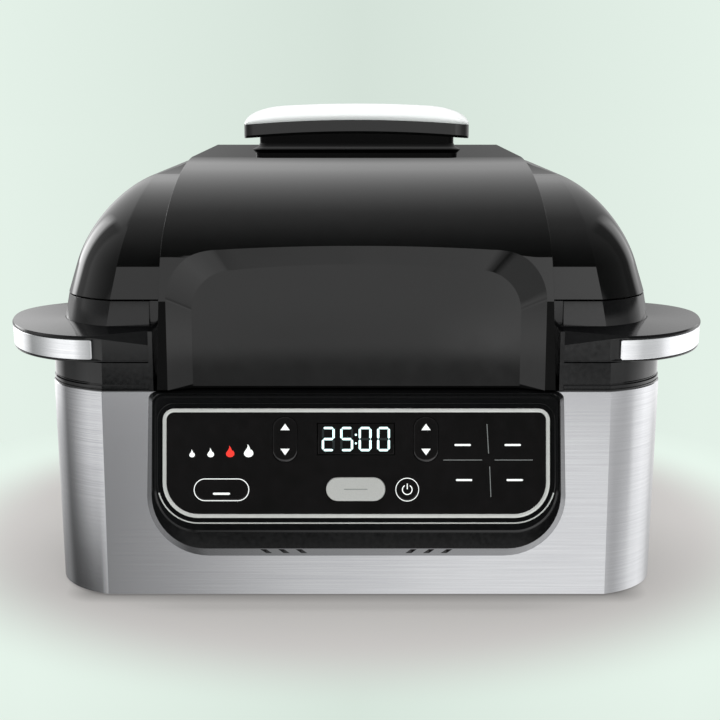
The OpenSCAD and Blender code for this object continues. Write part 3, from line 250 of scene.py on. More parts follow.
class Coat(Enum):
    """Every finish on the grill, named for the real material and how it was worked; two of them are
    painted shade and painted highlight instead.
    """

    # High-gloss moulded ABS: near black, mirror clear, with a faint wave from the mould
    GLOSS_BLACK = Finish("gloss_moulded_abs", "#0a0a0a", "#0e0e0e", 0.045, 0.02,
                         (9, 9, 9), 0.002, 70)
    # Moulded ABS straight from a polished tool, a little softer in its shine
    BLACK_PLASTIC = Finish("polished_black_abs", "#0d0d0e", "#131314", 0.1, 0.03,
                           (2.2, 2.2, 2.2), 0.001, 50)
    # Moulded polypropylene from a polished tool, as on the side handles
    SATIN_BLACK = Finish("polished_black_polypropylene", "#0f0f10", "#151516", 0.12, 0.03,
                         (3, 3, 3), 0.001, 60)
    # Base moulding: glass-filled plastic with a coarser, duller texture
    BASE_PLASTIC = Finish("glass_filled_polypropylene", "#1b1c1d", "#242526", 0.5, 0.08,
                          (1.2, 1.2, 1.2), 0.02, 40)
    # Stainless steel, brushed along its length: long streaks under a millimetre high
    BRUSHED_STEEL = Finish("brushed_stainless_steel", "#d2d3d5", "#c4c5c8", 0.15, 0.04,
                           (70, 70, 0.7), 0.0016, 90, metallic=1, anisotropic=0.4)
    # Brighter brushed aluminium on the edge of the side handles
    BRUSHED_TRIM = Finish("brushed_aluminium_trim", "#f2f3f5", "#e4e5e8", 0.14, 0.03,
                          (45, 45, 0.6), 0.001, 50, metallic=0.9)
    # Satin steel cap of the hood handle, brushed from end to end under a clear lacquer
    CAP_STEEL = Finish("satin_lacquered_steel_cap", "#f0f1f1", "#e6e7e8", 0.32, 0.05,
                       (60, 0.7, 0.7), 0.003, 60, metallic=0.25)
    # Near-matt black with next to no shine: painted shade on the hood handle's pedestal, the rails
    # beside the arch and the sheet behind the console's slots
    PAINTED_SHADE_BLACK = Finish("black_painted_shade", "#060606", "#040404", 0.3, 0.04,
                       (1.2, 1.2, 1.2), 0.001, 30, specular=0.1)
    # Painted highlight: near-white colour on the lower run of the bead outside the frame
    HIGHLIGHT_BEAD = Finish("bead_painted_highlight", "#f4f3f2", "#ecebea", 0.25, 0.03,
                         (6, 6, 6), 0.0005, 40, metallic=0.1)
    # Satin-chromed ABS of the frame round the panel
    CHROME = Finish("satin_chromed_abs", "#efedec", "#e3e1e0", 0.25, 0.03,
                    (6, 6, 6), 0.0004, 40, metallic=0.25)
    # Back-printed acrylic panel with a hard clear face
    PANEL = Finish("back_printed_acrylic", "#141313", "#1b191a", 0.07, 0.02,
                   (8, 8, 8), 0.001, 80, coat=0.3)
    # White screen print, lit from behind
    WHITE_PRINT = Finish("white_screen_print", "#f4f5f5", "#e9eaea", 0.45, 0.04,
                         (0.8, 0.8, 0.8), 0.001, 20, glow=0.5)
    # Thin grey print of the dividing lines and outlines
    GREY_PRINT = Finish("grey_screen_print", "#8e8f90", "#848586", 0.45, 0.04,
                        (0.8, 0.8, 0.8), 0.001, 20)
    # Red print, lit, for the third flame
    RED_PRINT = Finish("red_lit_print", "#e8352a", "#de2d24", 0.4, 0.04,
                       (0.8, 0.8, 0.8), 0.001, 20, glow=0.6)
    # Lit segments of the figures: cool white light-emitting diodes behind a diffuser
    LIT_SEGMENT = Finish("lit_led_segment", "#dcfbfb", "#d2f4f6", 0.4, 0.04,
                         (1, 1, 1), 0.001, 10, glow=1.1)
    # The same segments unlit, just visible through the smoked window
    DARK_SEGMENT = Finish("unlit_led_segment", "#272d2f", "#22282a", 0.35, 0.04,
                          (1, 1, 1), 0.001, 10)
    # Metallic lacquer on the start key
    SILVER_KEY = Finish("silver_lacquered_abs", "#dddbda", "#d2d0cf", 0.36, 0.04,
                        (0.7, 0.7, 0.7), 0.001, 30, metallic=0.2)
    # Moulded rubber feet
    RUBBER = Finish("moulded_rubber", "#1a1a1b", "#222223", 0.72, 0.08, (1.1, 1.1, 1.1), 0.03, 20)
    # Aluminised sheet steel of the heat chamber, shield and liner
    SHEET_STEEL = Finish("aluminised_sheet_steel", "#a9abad", "#97999b", 0.36, 0.08,
                         (3.5, 3.5, 3.5), 0.006, 45, metallic=1)
    # Plain zinc-plated steel of pins, screws and hinge leaves
    PLATED_STEEL = Finish("zinc_plated_steel", "#b4b5b6", "#a3a4a6", 0.3, 0.06,
                          (1.4, 1.4, 1.4), 0.004, 15, metallic=1)
    # Ceramic non-stick over pressed aluminium: dark, fine speckle, soft shine
    NONSTICK = Finish("ceramic_nonstick_coating", "#27282a", "#323436", 0.33, 0.06,
                      (0.8, 0.8, 0.8), 0.008, 40)
    # Cast aluminium grate under the same coating, with the sand's grit showing through
    CAST_GRATE = Finish("coated_cast_grate", "#2f3032", "#3d3e40", 0.48, 0.1,
                        (1.3, 1.3, 1.3), 0.05, 30)
    # Silicone gasket
    SILICONE = Finish("moulded_silicone", "#3b3c3e", "#444547", 0.6, 0.06,
                      (1.5, 1.5, 1.5), 0.01, 25)
    # Heating element: sheathed tube that heat has turned brown-grey
    HOT_STEEL = Finish("heat_tinted_tube_steel", "#6b645e", "#54504e", 0.4, 0.08,
                       (2.5, 2.5, 2.5), 0.008, 18, metallic=1)
    # Lacquered laminations of the fan motor
    MOTOR_STEEL = Finish("laminated_motor_steel", "#7f8183", "#696b6d", 0.42, 0.08,
                         (8, 8, 0.6), 0.02, 20, metallic=1)
    # Circuit board: green solder mask over fine copper
    SOLDER_MASK = Finish("green_solder_mask", "#1f5a3a", "#2c7049", 0.35, 0.06,
                         (1.6, 1.6, 1.6), 0.01, 14)

    @property
    def material(self) -> bpy.types.Material:
        """The finish's node material, made when first asked for."""
        return bpy.data.materials.get(self.value.name) or self.value.build()


# ---------------------------------------------------------------- outlines and meshes

CREASE = 20.0
ARC = 24
SHARP = 15.0
FAR = 300


def arc(cx: float, cy: float, r: float, start: float, end: float, n: int) -> list[Point2]:
    """Points on an arc round (cx, cy) from one angle to another, in degrees."""
    turns = [mix(start, end, i / n) for i in range(n + 1)]
    return [(cx + r * cos(a), cy + r * sin(a)) for a in turns]


def both_sides(right: Sequence[Point2]) -> list[Point2]:
    """Closes an outline with the mirror image of its right side."""
    return list(right) + [(-x, y) for x, y in reversed(right)]


def plan(hw: float, front: float, back: float, r: float, rr: float, n: int = ARC) -> list[Point2]:
    """Plan outline: flat front, creased front corners and round back corners.

    Args:
        hw: half width.
        front: distance of the front ahead of the middle.
        back: distance of the back behind it.
        r: radius of the front corners.
        rr: radius of the back corners.
        n: steps in each corner.

    Returns:
        The points, anticlockwise from the right end of the front.
    """
    xc, yc, xr, yr = hw - r, -front + r * cos(CREASE), hw - rr, back - rr
    turns = [mix(CREASE, 90, i / n) for i in range(n + 1)]
    right = [(xc + r * sin(a), yc - r * cos(a)) for a in turns]
    return both_sides(right + arc(xr, yr, rr, 0, 90, n))


def rounded(low_hw: float, top_hw: float, v0: float, v1: float, r_low: float, r_top: float,
            n: int = 12) -> list[Point2]:
    """Rounded rectangle with its own width and radius below and above.

    Args:
        low_hw: half width below.
        top_hw: half width above.
        v0: lower edge.
        v1: upper edge.
        r_low: radius of the lower corners.
        r_top: radius of the upper corners.
        n: steps in each corner.

    Returns:
        The points, anticlockwise from the bottom.
    """
    low = arc(low_hw - r_low, v0 + r_low, r_low, -90, 0, n)
    return both_sides(low + arc(top_hw - r_top, v1 - r_top, r_top, 0, 90, n))


def rrect(hw: float, y0: float, y1: float, r: float, n: int = 12) -> list[Point2]:
    """Rounded rectangle from -hw to hw and y0 to y1."""
    return rounded(hw, hw, y0, y1, r, r, n)


def circle(cx: float, cy: float, r: float, n: int = 32) -> list[Point2]:
    """Points round a circle."""
    return [(cx + r * cos(360 * i / n), cy + r * sin(360 * i / n)) for i in range(n)]


def pill(cx: float, cy: float, half: float, r: float, n: int = 20) -> list[Point2]:
    """Outline of a pill that lies along x, or of a disc where half equals r."""
    return (arc(cx + half - r, cy, r, -90, 90, n) + arc(cx - half + r, cy, r, 90, 270, n))


def level(outline: Iterable[Point2], z: float) -> list[Point3]:
    """Lays a plan outline at a height."""
    return [(x, y, z) for x, y in outline]


@dataclass
class Solid:
    """A mesh in millimetres while it is put together."""

    points: list[Point3] = field(default_factory=list)
    faces: list[tuple[int, ...]] = field(default_factory=list)

    def loft(self, rings: Sequence[Sequence[Point3]], closed: bool = False) -> "Solid":
        """Skins rings of equally many points.

        Args:
            rings: the rings in order.
            closed: joins the last ring to the first instead of capping both.

        Returns:
            This solid.
        """
        start, n, m = len(self.points), len(rings[0]), len(rings)
        for ring in rings:
            self.points.extend(ring)
        for j in range(m if closed else m - 1):
            k = (j + 1) % m
            for i in range(n):
                a, b = start + j * n + i, start + j * n + (i + 1) % n
                self.faces.append((a, b, start + k * n + (i + 1) % n, start + k * n + i))
        if not closed:
            self.faces.append(tuple(start + i for i in reversed(range(n))))
            self.faces.append(tuple(start + (m - 1) * n + i for i in range(n)))
        return self

    def slab(self, outline: Sequence[Point2], z0: float, z1: float) -> "Solid":
        """Draws a plan outline up from z0 to z1."""
        return self.loft([level(outline, z0), level(outline, z1)])

    def across(self, profile: Sequence[Point2], hw: float) -> "Solid":
        """Draws a side profile of (y, z) out to hw on both sides."""
        return self.loft([[(s * hw, y, z) for y, z in profile] for s in (-1, 1)])

    def along(self, profile: Sequence[Point2], y0: float, y1: float) -> "Solid":
        """Draws a front profile of (x, z) back from y0 to y1."""
        return self.loft([[(x, y, z) for x, z in profile] for y in (y0, y1)])

    def box(self, low: Point3, high: Point3) -> "Solid":
        """Adds a box between two corners."""
        outline = [(low[0], low[1]), (high[0], low[1]), (high[0], high[1]), (low[0], high[1])]
        return self.slab(outline, low[2], high[2])

    def turned(self, profile: Sequence[Point2], centre: Point3, n: int) -> "Solid":
        """Turns a closed profile of (radius, height) round the upright line through centre."""
        cx, cy, cz = centre
        return self.loft([[(cx + r * cos(a), cy + r * sin(a), cz + h) for r, h in profile]
                          for a in (360 * i / n for i in range(n))], closed=True)

    def mirrored(self) -> "Solid":
        """The same solid on the other side of the middle."""
        return Solid([(-x, y, z) for x, y, z in self.points],
                     [tuple(reversed(f)) for f in self.faces])

    def build(self, name: str, sharp: float = SHARP) -> bpy.types.Object:
        """Makes the Blender object, in metres, with its faces outwards.

        Args:
            name: the object's name.
            sharp: edges with a larger angle than this, in degrees, are shaded as edges.

        Returns:
            The object, at the origin.
        """
        mesh = bpy.data.meshes.new(name)
        mesh.from_pydata([(x * MM, y * MM, z * MM) for x, y, z in self.points], [], self.faces)
        work = bmesh.new()
        work.from_mesh(mesh)
        bmesh.ops.remove_doubles(work, verts=work.verts, dist=1e-6)
        bmesh.ops.dissolve_degenerate(work, edges=work.edges, dist=1e-6)
        bmesh.ops.recalc_face_normals(work, faces=work.faces)
        work.to_mesh(mesh)
        work.free()
        piece = bpy.data.objects.new(name, mesh)
        bpy.context.scene.collection.objects.link(piece)
        shade(piece, sharp)
        return piece


def shade(piece: bpy.types.Object, sharp: float) -> None:
    """Shades a piece smooth, apart from edges whose angle is above sharp degrees."""
    piece.data.shade_smooth()
    piece.data.set_sharp_from_angle(angle=math.radians(sharp))


def settle(piece: bpy.types.Object) -> bpy.types.Object:
    """Turns what a piece's modifiers make into its plain mesh."""
    bpy.context.view_layer.update()
    graph = bpy.context.evaluated_depsgraph_get()
    mesh = bpy.data.meshes.new_from_object(piece.evaluated_get(graph))
    piece.modifiers.clear()
    piece.data = mesh
    return piece


def carve(piece: bpy.types.Object, tools: Sequence[bpy.types.Object],
          operation: str = "DIFFERENCE", sharp: float = SHARP) -> bpy.types.Object:
    """Applies boolean steps to a piece and removes the tools.

    Args:
        piece: the piece that changes.
        tools: the objects that cut it, in order.
        operation: Blender's name for the step.
        sharp: edges with a larger angle than this, in degrees, are shaded as edges.

    Returns:
        The piece.
    """
    for tool in tools:
        step = piece.modifiers.new("cut", "BOOLEAN")
        step.operation, step.object, step.solver = operation, tool, "EXACT"
    settle(piece)
    for tool in tools:
        bpy.data.objects.remove(tool)
    shade(piece, sharp)
    return piece


def round_edges(piece: bpy.types.Object, width: float, segments: int, angle: float) -> None:
    """Adds a bevel, width millimetres wide, on edges whose angle is above the given one."""
    bevel = piece.modifiers.new("edges", "BEVEL")
    bevel.width, bevel.segments = width * MM, segments
    bevel.limit_method, bevel.angle_limit = "ANGLE", math.radians(angle)


def soften(piece: bpy.types.Object, width: float, segments: int = 3, angle: float = 26,
           sharp: float = 40) -> bpy.types.Object:
    """Rounds a piece's edges a little, as a mould or a press leaves them.

    Args:
        piece: the piece.
        width: width of the rounding.
        segments: steps across it.
        angle: the smallest edge angle that is rounded, in degrees.
        sharp: edges above this angle stay sharp in shading.

    Returns:
        The piece, with its modifiers live.
    """
    shade(piece, sharp)
    round_edges(piece, width, segments, angle)
    even = piece.modifiers.new("flats", "WEIGHTED_NORMAL")
    even.weight, even.keep_sharp = 60, True
    return piece


def dress(piece: bpy.types.Object, coat: Coat, body: str, slot: str,
          hides: Sequence[str] = ()) -> bpy.types.Object:
    """Gives a piece its finish and its place in the frame.

    Args:
        piece: the finished piece.
        coat: its finish.
        body: the CAD body it moves with.
        slot: name of the record's material slot for the piece, which is only logged.
        hides: the CAD nodes it stands for.

    Returns:
        The piece.
    """
    piece.data.materials.clear()
    piece.data.materials.append(coat.material)
    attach(piece, body)
    if hides:
        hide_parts(*hides)
    LOG.info("%s: %d faces, %s on %s", piece.name, len(piece.data.polygons), slot, body)
    return piece


# ---------------------------------------------------------------- repeated things


def add_tree(piece: bpy.types.Object, tree: bpy.types.NodeTree, values: dict[str, Any]) -> None:
    """Adds a node tree to a piece as a modifier and sets its inputs by their identifiers."""
    nodes = piece.modifiers.new(tree.name, "NODES")
    nodes.node_group = tree
    for item in tree.interface.items_tree:
        if item.in_out == "INPUT" and item.name in values:
            nodes[item.identifier] = values[item.name]


def repeat_tree() -> bpy.types.NodeTree:
    """Builds the node tree that repeats one shape along a line or round an axis.

    Returns:
        The tree, with inputs Shape, Count, Start, Step, Turn and Finish.
    """
    tree = bpy.data.node_groups.new("repeat_shape", "GeometryNodeTree")
    sockets = (("Shape", "NodeSocketObject"), ("Count", "NodeSocketInt"),
               ("Start", "NodeSocketVector"), ("Step", "NodeSocketVector"),
               ("Turn", "NodeSocketFloat"), ("Finish", "NodeSocketMaterial"))
    for name, kind in sockets:
        tree.interface.new_socket(name, in_out="INPUT", socket_type=kind)
    tree.interface.new_socket("Geometry", in_out="OUTPUT", socket_type="NodeSocketGeometry")
    given = add_node(tree, "NodeGroupInput").outputs
    line = add_node(tree, "GeometryNodeMeshLine", {
        "Count": given["Count"], "Start Location": given["Start"], "Offset": given["Step"]})
    index = add_node(tree, "GeometryNodeInputIndex")
    angle = add_node(tree, "ShaderNodeMath", {0: index, 1: given["Turn"]}, operation="MULTIPLY")
    turn = add_node(tree, "ShaderNodeCombineXYZ", {"Z": angle})
    shape = add_node(tree, "GeometryNodeObjectInfo", {"Object": given["Shape"]})
    copies = add_node(tree, "GeometryNodeInstanceOnPoints", {
        "Points": line, "Instance": shape.outputs["Geometry"], "Rotation": turn})
    real = add_node(tree, "GeometryNodeRealizeInstances", {"Geometry": copies})
    dressed = add_node(tree, "GeometryNodeSetMaterial", {
        "Geometry": real, "Material": given["Finish"]})
    add_node(tree, "NodeGroupOutput", {"Geometry": dressed})
    return tree


def repeat(name: str, shape: bpy.types.Object, count: int, coat: Coat,
           start: Point3 = (0, 0, 0), step: Point3 = (0, 0, 0),
           turn: float = 0) -> bpy.types.Object:
    """Repeats a shape with the node tree and makes the result a plain mesh.

    Args:
        name: name of the new piece.
        shape: the object to repeat, which is removed afterwards.
        count: number of copies.
        coat: the finish that the tree sets.
        start: place of the first copy.
        step: the way from one copy to the next.
        turn: degrees from one copy to the next, round the vertical through its place.

    Returns:
        The new piece.
    """
    tree = bpy.data.node_groups.get("repeat_shape") or repeat_tree()
    piece = bpy.data.objects.new(name, bpy.data.meshes.new(name))
    bpy.context.scene.collection.objects.link(piece)
    add_tree(piece, tree, {
        "Shape": shape, "Count": count, "Start": [v * MM for v in start],
        "Step": [v * MM for v in step], "Turn": math.radians(turn), "Finish": coat.material})
    settle(piece)
    bpy.data.objects.remove(shape)
    return piece


def weld_tree() -> bpy.types.NodeTree:
    """Builds the node tree that joins a CAD node's loose triangles and shades its curves.

    Returns:
        The tree, with inputs Geometry, Reach and Sharp.
    """
    tree = bpy.data.node_groups.new("weld_and_shade", "GeometryNodeTree")
    for name, kind in (("Geometry", "NodeSocketGeometry"), ("Reach", "NodeSocketFloat"),
                       ("Sharp", "NodeSocketFloat")):
        tree.interface.new_socket(name, in_out="INPUT", socket_type=kind)
    tree.interface.new_socket("Geometry", in_out="OUTPUT", socket_type="NodeSocketGeometry")
    given = add_node(tree, "NodeGroupInput").outputs
    joined = add_node(tree, "GeometryNodeMergeByDistance", {
        "Geometry": given["Geometry"], "Distance": given["Reach"]})
    faces = add_node(tree, "GeometryNodeSetShadeSmooth", {
        "Geometry": joined, "Shade Smooth": True}, domain="FACE")
    angle = add_node(tree, "GeometryNodeInputMeshEdgeAngle").outputs["Unsigned Angle"]
    gentle = add_node(tree, "FunctionNodeCompare", {"A": angle, "B": given["Sharp"]},
                      data_type="FLOAT", operation="LESS_THAN")
    edges = add_node(tree, "GeometryNodeSetShadeSmooth", {
        "Geometry": faces, "Shade Smooth": gentle}, domain="EDGE")
    add_node(tree, "NodeGroupOutput", {"Geometry": edges})
    return tree


# ---------------------------------------------------------------- body


@dataclass
class Body:
    """Steel wrap, rim band and the outline that the wings and console stand on."""

    width: float = 353.2
    front: float = 155
    back: float = 171
    corner: float = 50
    back_corner: float = 42
    steel_z: float = 1.4
    steel_top: float = 121.4
    steel_end: float = 120
    sheet: float = 0.8
    hem: float = 0.35
    side_steps: int = 6
    rim_h: float = 4
    notch: float = 117
    flare_low: float = 0.6
    flare_top: float = 2.5
    sleeve_flare: float = 3.4
    sleeve: tuple[float, float] = (125.45, 137.3)

    def flared(self, p: Point2, by: float) -> Point2:
        """Moves a side point outwards; the front between the corner creases stays."""
        crease = self.width / 2 - self.corner * (1 - sin(CREASE))
        share = max(0.0, abs(p[0]) - crease) / (self.width / 2 - crease)
        return (p[0] + math.copysign(by * share, p[0]), p[1])

    def outline(self, t: float) -> list[Point2]:
        """Body outline moved inwards by t."""
        return plan(self.width / 2 - t, self.front - t, self.back - t, self.corner - t,
                    self.back_corner - t)

    def half_line(self, t: float) -> list[Point2]:
        """Line from the right side round the front to the left side, moved inwards by t."""
        right = self.outline(t)[:ARC + 1]
        side = [(self.width / 2 - t, self.steel_end)]
        side += [(self.width / 2 - t, mix(self.steel_end, right[-1][1], i / self.side_steps))
                 for i in range(1, self.side_steps)]
        return both_sides(side + right[::-1])

    def steel_wrap(self) -> bpy.types.Object:
        """Folded sheet round the front and sides, with a small hem along its top."""
        outer, inner = self.half_line(0), self.half_line(self.sheet)
        low, top = self.steel_z, self.steel_top
        sections = []
        for p, q in zip(outer, inner):
            (a, _), (b, _) = (self.flared(r, self.flare_low) for r in (p, q))
            (c, _), (d, _) = (self.flared(r, self.flare_top) for r in (p, q))
            sections.append([(b, q[1], low), (a, p[1], low), (c, p[1], top - self.hem),
                             (mix(c, d, 0.4), mix(p[1], q[1], 0.4), top), (d, q[1], top)])
        return Solid().loft(sections).build("steel_wrap_sheet", 12)

    def belt(self, profile: Sequence[Point2], flare: float, name: str) -> bpy.types.Object:
        """Runs a profile of (inset, height) round the body, open where the apron passes."""
        lines = []
        for t, height in profile:
            ends = [(side * self.notch, -self.front + t) for side in (1, -1)]
            ring = [ends[0]] + self.outline(t) + [ends[1]]
            lines.append(level([self.flared(p, flare) for p in ring], height))
        sections = [[line[i] for line in lines] for i in range(len(lines[0]))]
        return Solid().loft(sections).build(name)

    def rim_band(self) -> bpy.types.Object:
        """Thin band on the steel with two fine grooves."""
        z, top, face, groove, root = self.steel_top, self.steel_top + self.rim_h, 0.4, 0.95, 6
        profile = [(root, z), (face, z), (face, z + 0.9), (groove, z + 1.15), (groove, z + 1.5),
                   (face, z + 1.8), (face, top - 1), (1.1, top - 0.3), (1.1, top), (root, top)]
        return self.belt(profile, self.flare_top, "rim_band_grooved")

    def neck_sleeve(self) -> bpy.types.Object:
        """Smooth sleeve round the neck between the rim band and the side handles."""
        low, top = self.sleeve
        face, chamfer, root = 1.5, 0.4, 4.0
        profile = [(root, low), (face + chamfer, low), (face, low + chamfer), (face, top),
                   (root, top)]
        return self.belt(profile, self.sleeve_flare, "neck_sleeve_moulding")

    def make(self) -> None:
        """Builds and dresses the body's pieces."""
        dress(self.steel_wrap(), Coat.BRUSHED_STEEL, "base", "brushed_steel", ["steel_wrap"])
        dress(self.rim_band(), Coat.BLACK_PLASTIC, "base", "black_plastic", ["rim_band"])
        dress(self.neck_sleeve(), Coat.BLACK_PLASTIC, "base", "black_plastic")


@dataclass
class Wings:
    """Side handles that grow out of the front corners, and the bright trim on their edge."""

    root_plan: Point3 = (175.1, 134.1, 48)
    under_plan: Point3 = (175.4, 152.9, 48.8)
    root_x: float = 143
    tip_x: float = 212
    end_x: float = 176.4
    arm_y: float = -152.5
    middle: float = 60
    rear: float = 19
    start_x: float = 117
    ledge: float = 137.5
    deck: float = 155.5
    edge_drop: float = 3
    fall: float = 1
    arm_run: float = 32
    arm_rise: float = 2.4
    ridge_in: float = 0.5
    ridge_widen: float = 4.5
    ridge_drop: float = 0.9
    ridge_deepen: float = 6.5
    lower_lip: float = 0.9
    recess_start: float = 0.06
    lip: float = 2
    trim_h: float = 11.6
    trim_start: tuple[float, float] = (0.62, 0.78)
    trim_bevel: float = 0.55
    seat: float = 2.2
    tilt: float = 0.42
    steps: int = 28
    rear_steps: int = 12

    def outer(self) -> list[Point2]:
        """Outer edge from the notch round the tip to the back end."""
        swing = self.arm_y + self.middle
        line = [(self.start_x, self.arm_y)]
        line += [(self.root_x + (self.tip_x - self.root_x) * sin(90 * i / self.steps),
                  -self.middle + swing * cos(90 * i / self.steps)) for i in range(self.steps + 1)]
        return line + [(self.end_x + (self.tip_x - self.end_x) * cos(90 * i / self.rear_steps),
                        -self.middle + (self.middle - self.rear) * sin(90 * i / self.rear_steps))
                       for i in range(1, self.rear_steps + 1)]

    def inner(self, hw: float, front: float, r: float) -> list[Point2]:
        """Points on a plan outline that match those of the outer edge."""
        xc, yc = hw - r, -front + r * cos(CREASE)
        turns = [mix(CREASE, 90, i / self.steps) for i in range(self.steps + 1)]
        line = [(self.start_x, -front)] + [(xc + r * sin(a), yc - r * cos(a)) for a in turns]
        return line + [(hw, mix(yc, -self.rear, i / self.rear_steps))
                       for i in range(1, self.rear_steps + 1)]

    def reach(self, x: float) -> float:
        """Share of the way from the root to the tip."""
        return max(0.0, (x - self.root_x) / (self.tip_x - self.root_x))

    def top(self, x: float) -> float:
        """Height of the outer edge's top."""
        return self.deck - self.edge_drop - self.fall * self.reach(x)

    def bottom(self, x: float) -> float:
        """Height of the outer edge's bottom."""
        return self.ledge - self.fall * self.reach(x)

    def wing(self) -> Solid:
        """The right wing, whose arm has a crease that rises towards the apron."""
        inner, middle = self.inner(*self.root_plan), self.inner(*self.under_plan)
        sections = []
        for i, b in enumerate(self.outer()):
            a = inner[i]
            m = (a[0], (a[1] + b[1]) / 2) if i < 2 else middle[i]
            near = max(0.0, 1 - (b[0] - self.start_x) / self.arm_run)
            high = self.top(b[0]) + self.arm_rise * near
            back = self.ridge_in + self.ridge_widen * near
            drop = self.ridge_drop + self.ridge_deepen * near
            run = math.hypot(a[0] - b[0], a[1] - b[1])
            deep = 1.0 if i > 1 else self.recess_start
            seat, lip = self.seat * deep, self.lower_lip * deep
            under = min(high - drop - 0.1, self.top(b[0]) - self.lip + 0.15)
            foot = self.bottom(b[0])

            def inset(by: float, z: float) -> Point3:
                """A point that far in from the outer edge."""
                return (b[0] + (a[0] - b[0]) * by / run, b[1] + (a[1] - b[1]) * by / run, z)

            sections.append([
                (a[0], a[1], self.deck - 0.3), inset(back, high), inset(0, high - drop),
                inset(0, under), inset(seat, under - 0.05), inset(seat + 0.3 * deep, foot + 1.05),
                inset(lip, foot + 1.0), inset(lip, foot + 0.4), inset(lip + 0.4, foot),
                (m[0], m[1], self.ledge), (a[0], a[1], self.ledge)])
        return Solid().loft(sections)

    def trim(self) -> Solid:
        """The right wing's trim strip: bevelled edges and inner end, leaning in below."""
        line = self.outer()
        places = [(2, share, cut) for share, cut in zip(self.trim_start, (self.trim_bevel, 0.0))]
        places += [(i, 0.0, 0.0) for i in range(3, len(line) - 2)]
        sections = []
        for i, on, cut in places:
            p, before, after = line[i], line[i - 1], line[i + 1]
            dx, dy = after[0] - before[0], after[1] - before[1]
            n = (dy / math.hypot(dx, dy), -dx / math.hypot(dx, dy))
            p = (mix(p[0], after[0], on), mix(p[1], after[1], on))
            t = self.top(p[0]) - self.lip - 0.1
            b = t - self.trim_h + 0.1
            section = []
            for out, z in ((-1.8, t - cut), (-0.45 - cut, t - cut), (-0.2 - cut, t - 0.3 - cut),
                           (-0.2 - self.tilt - cut, b + 0.3 + cut),
                           (-0.45 - self.tilt - cut, b + cut), (-1.8 - self.tilt, b + cut)):
                section.append((p[0] + n[0] * out, p[1] + n[1] * out, z))
            sections.append(section)
        return Solid().loft(sections)

    def make(self) -> None:
        """Builds and dresses both sides."""
        for side in ("right", "left"):
            wing, trim = self.wing(), self.trim()
            if side == "left":
                wing, trim = wing.mirrored(), trim.mirrored()
            body = soften(wing.build(f"side_handle_{side}_moulding"), 0.7, 3, 30, 38)
            dress(body, Coat.SATIN_BLACK, "base", "satin_black", [f"side_handle_{side}"])
            dress(trim.build(f"handle_trim_{side}_strip", 18), Coat.BRUSHED_TRIM, "base",
                  "brushed_trim", [f"handle_trim_{side}"])


# ---------------------------------------------------------------- hood


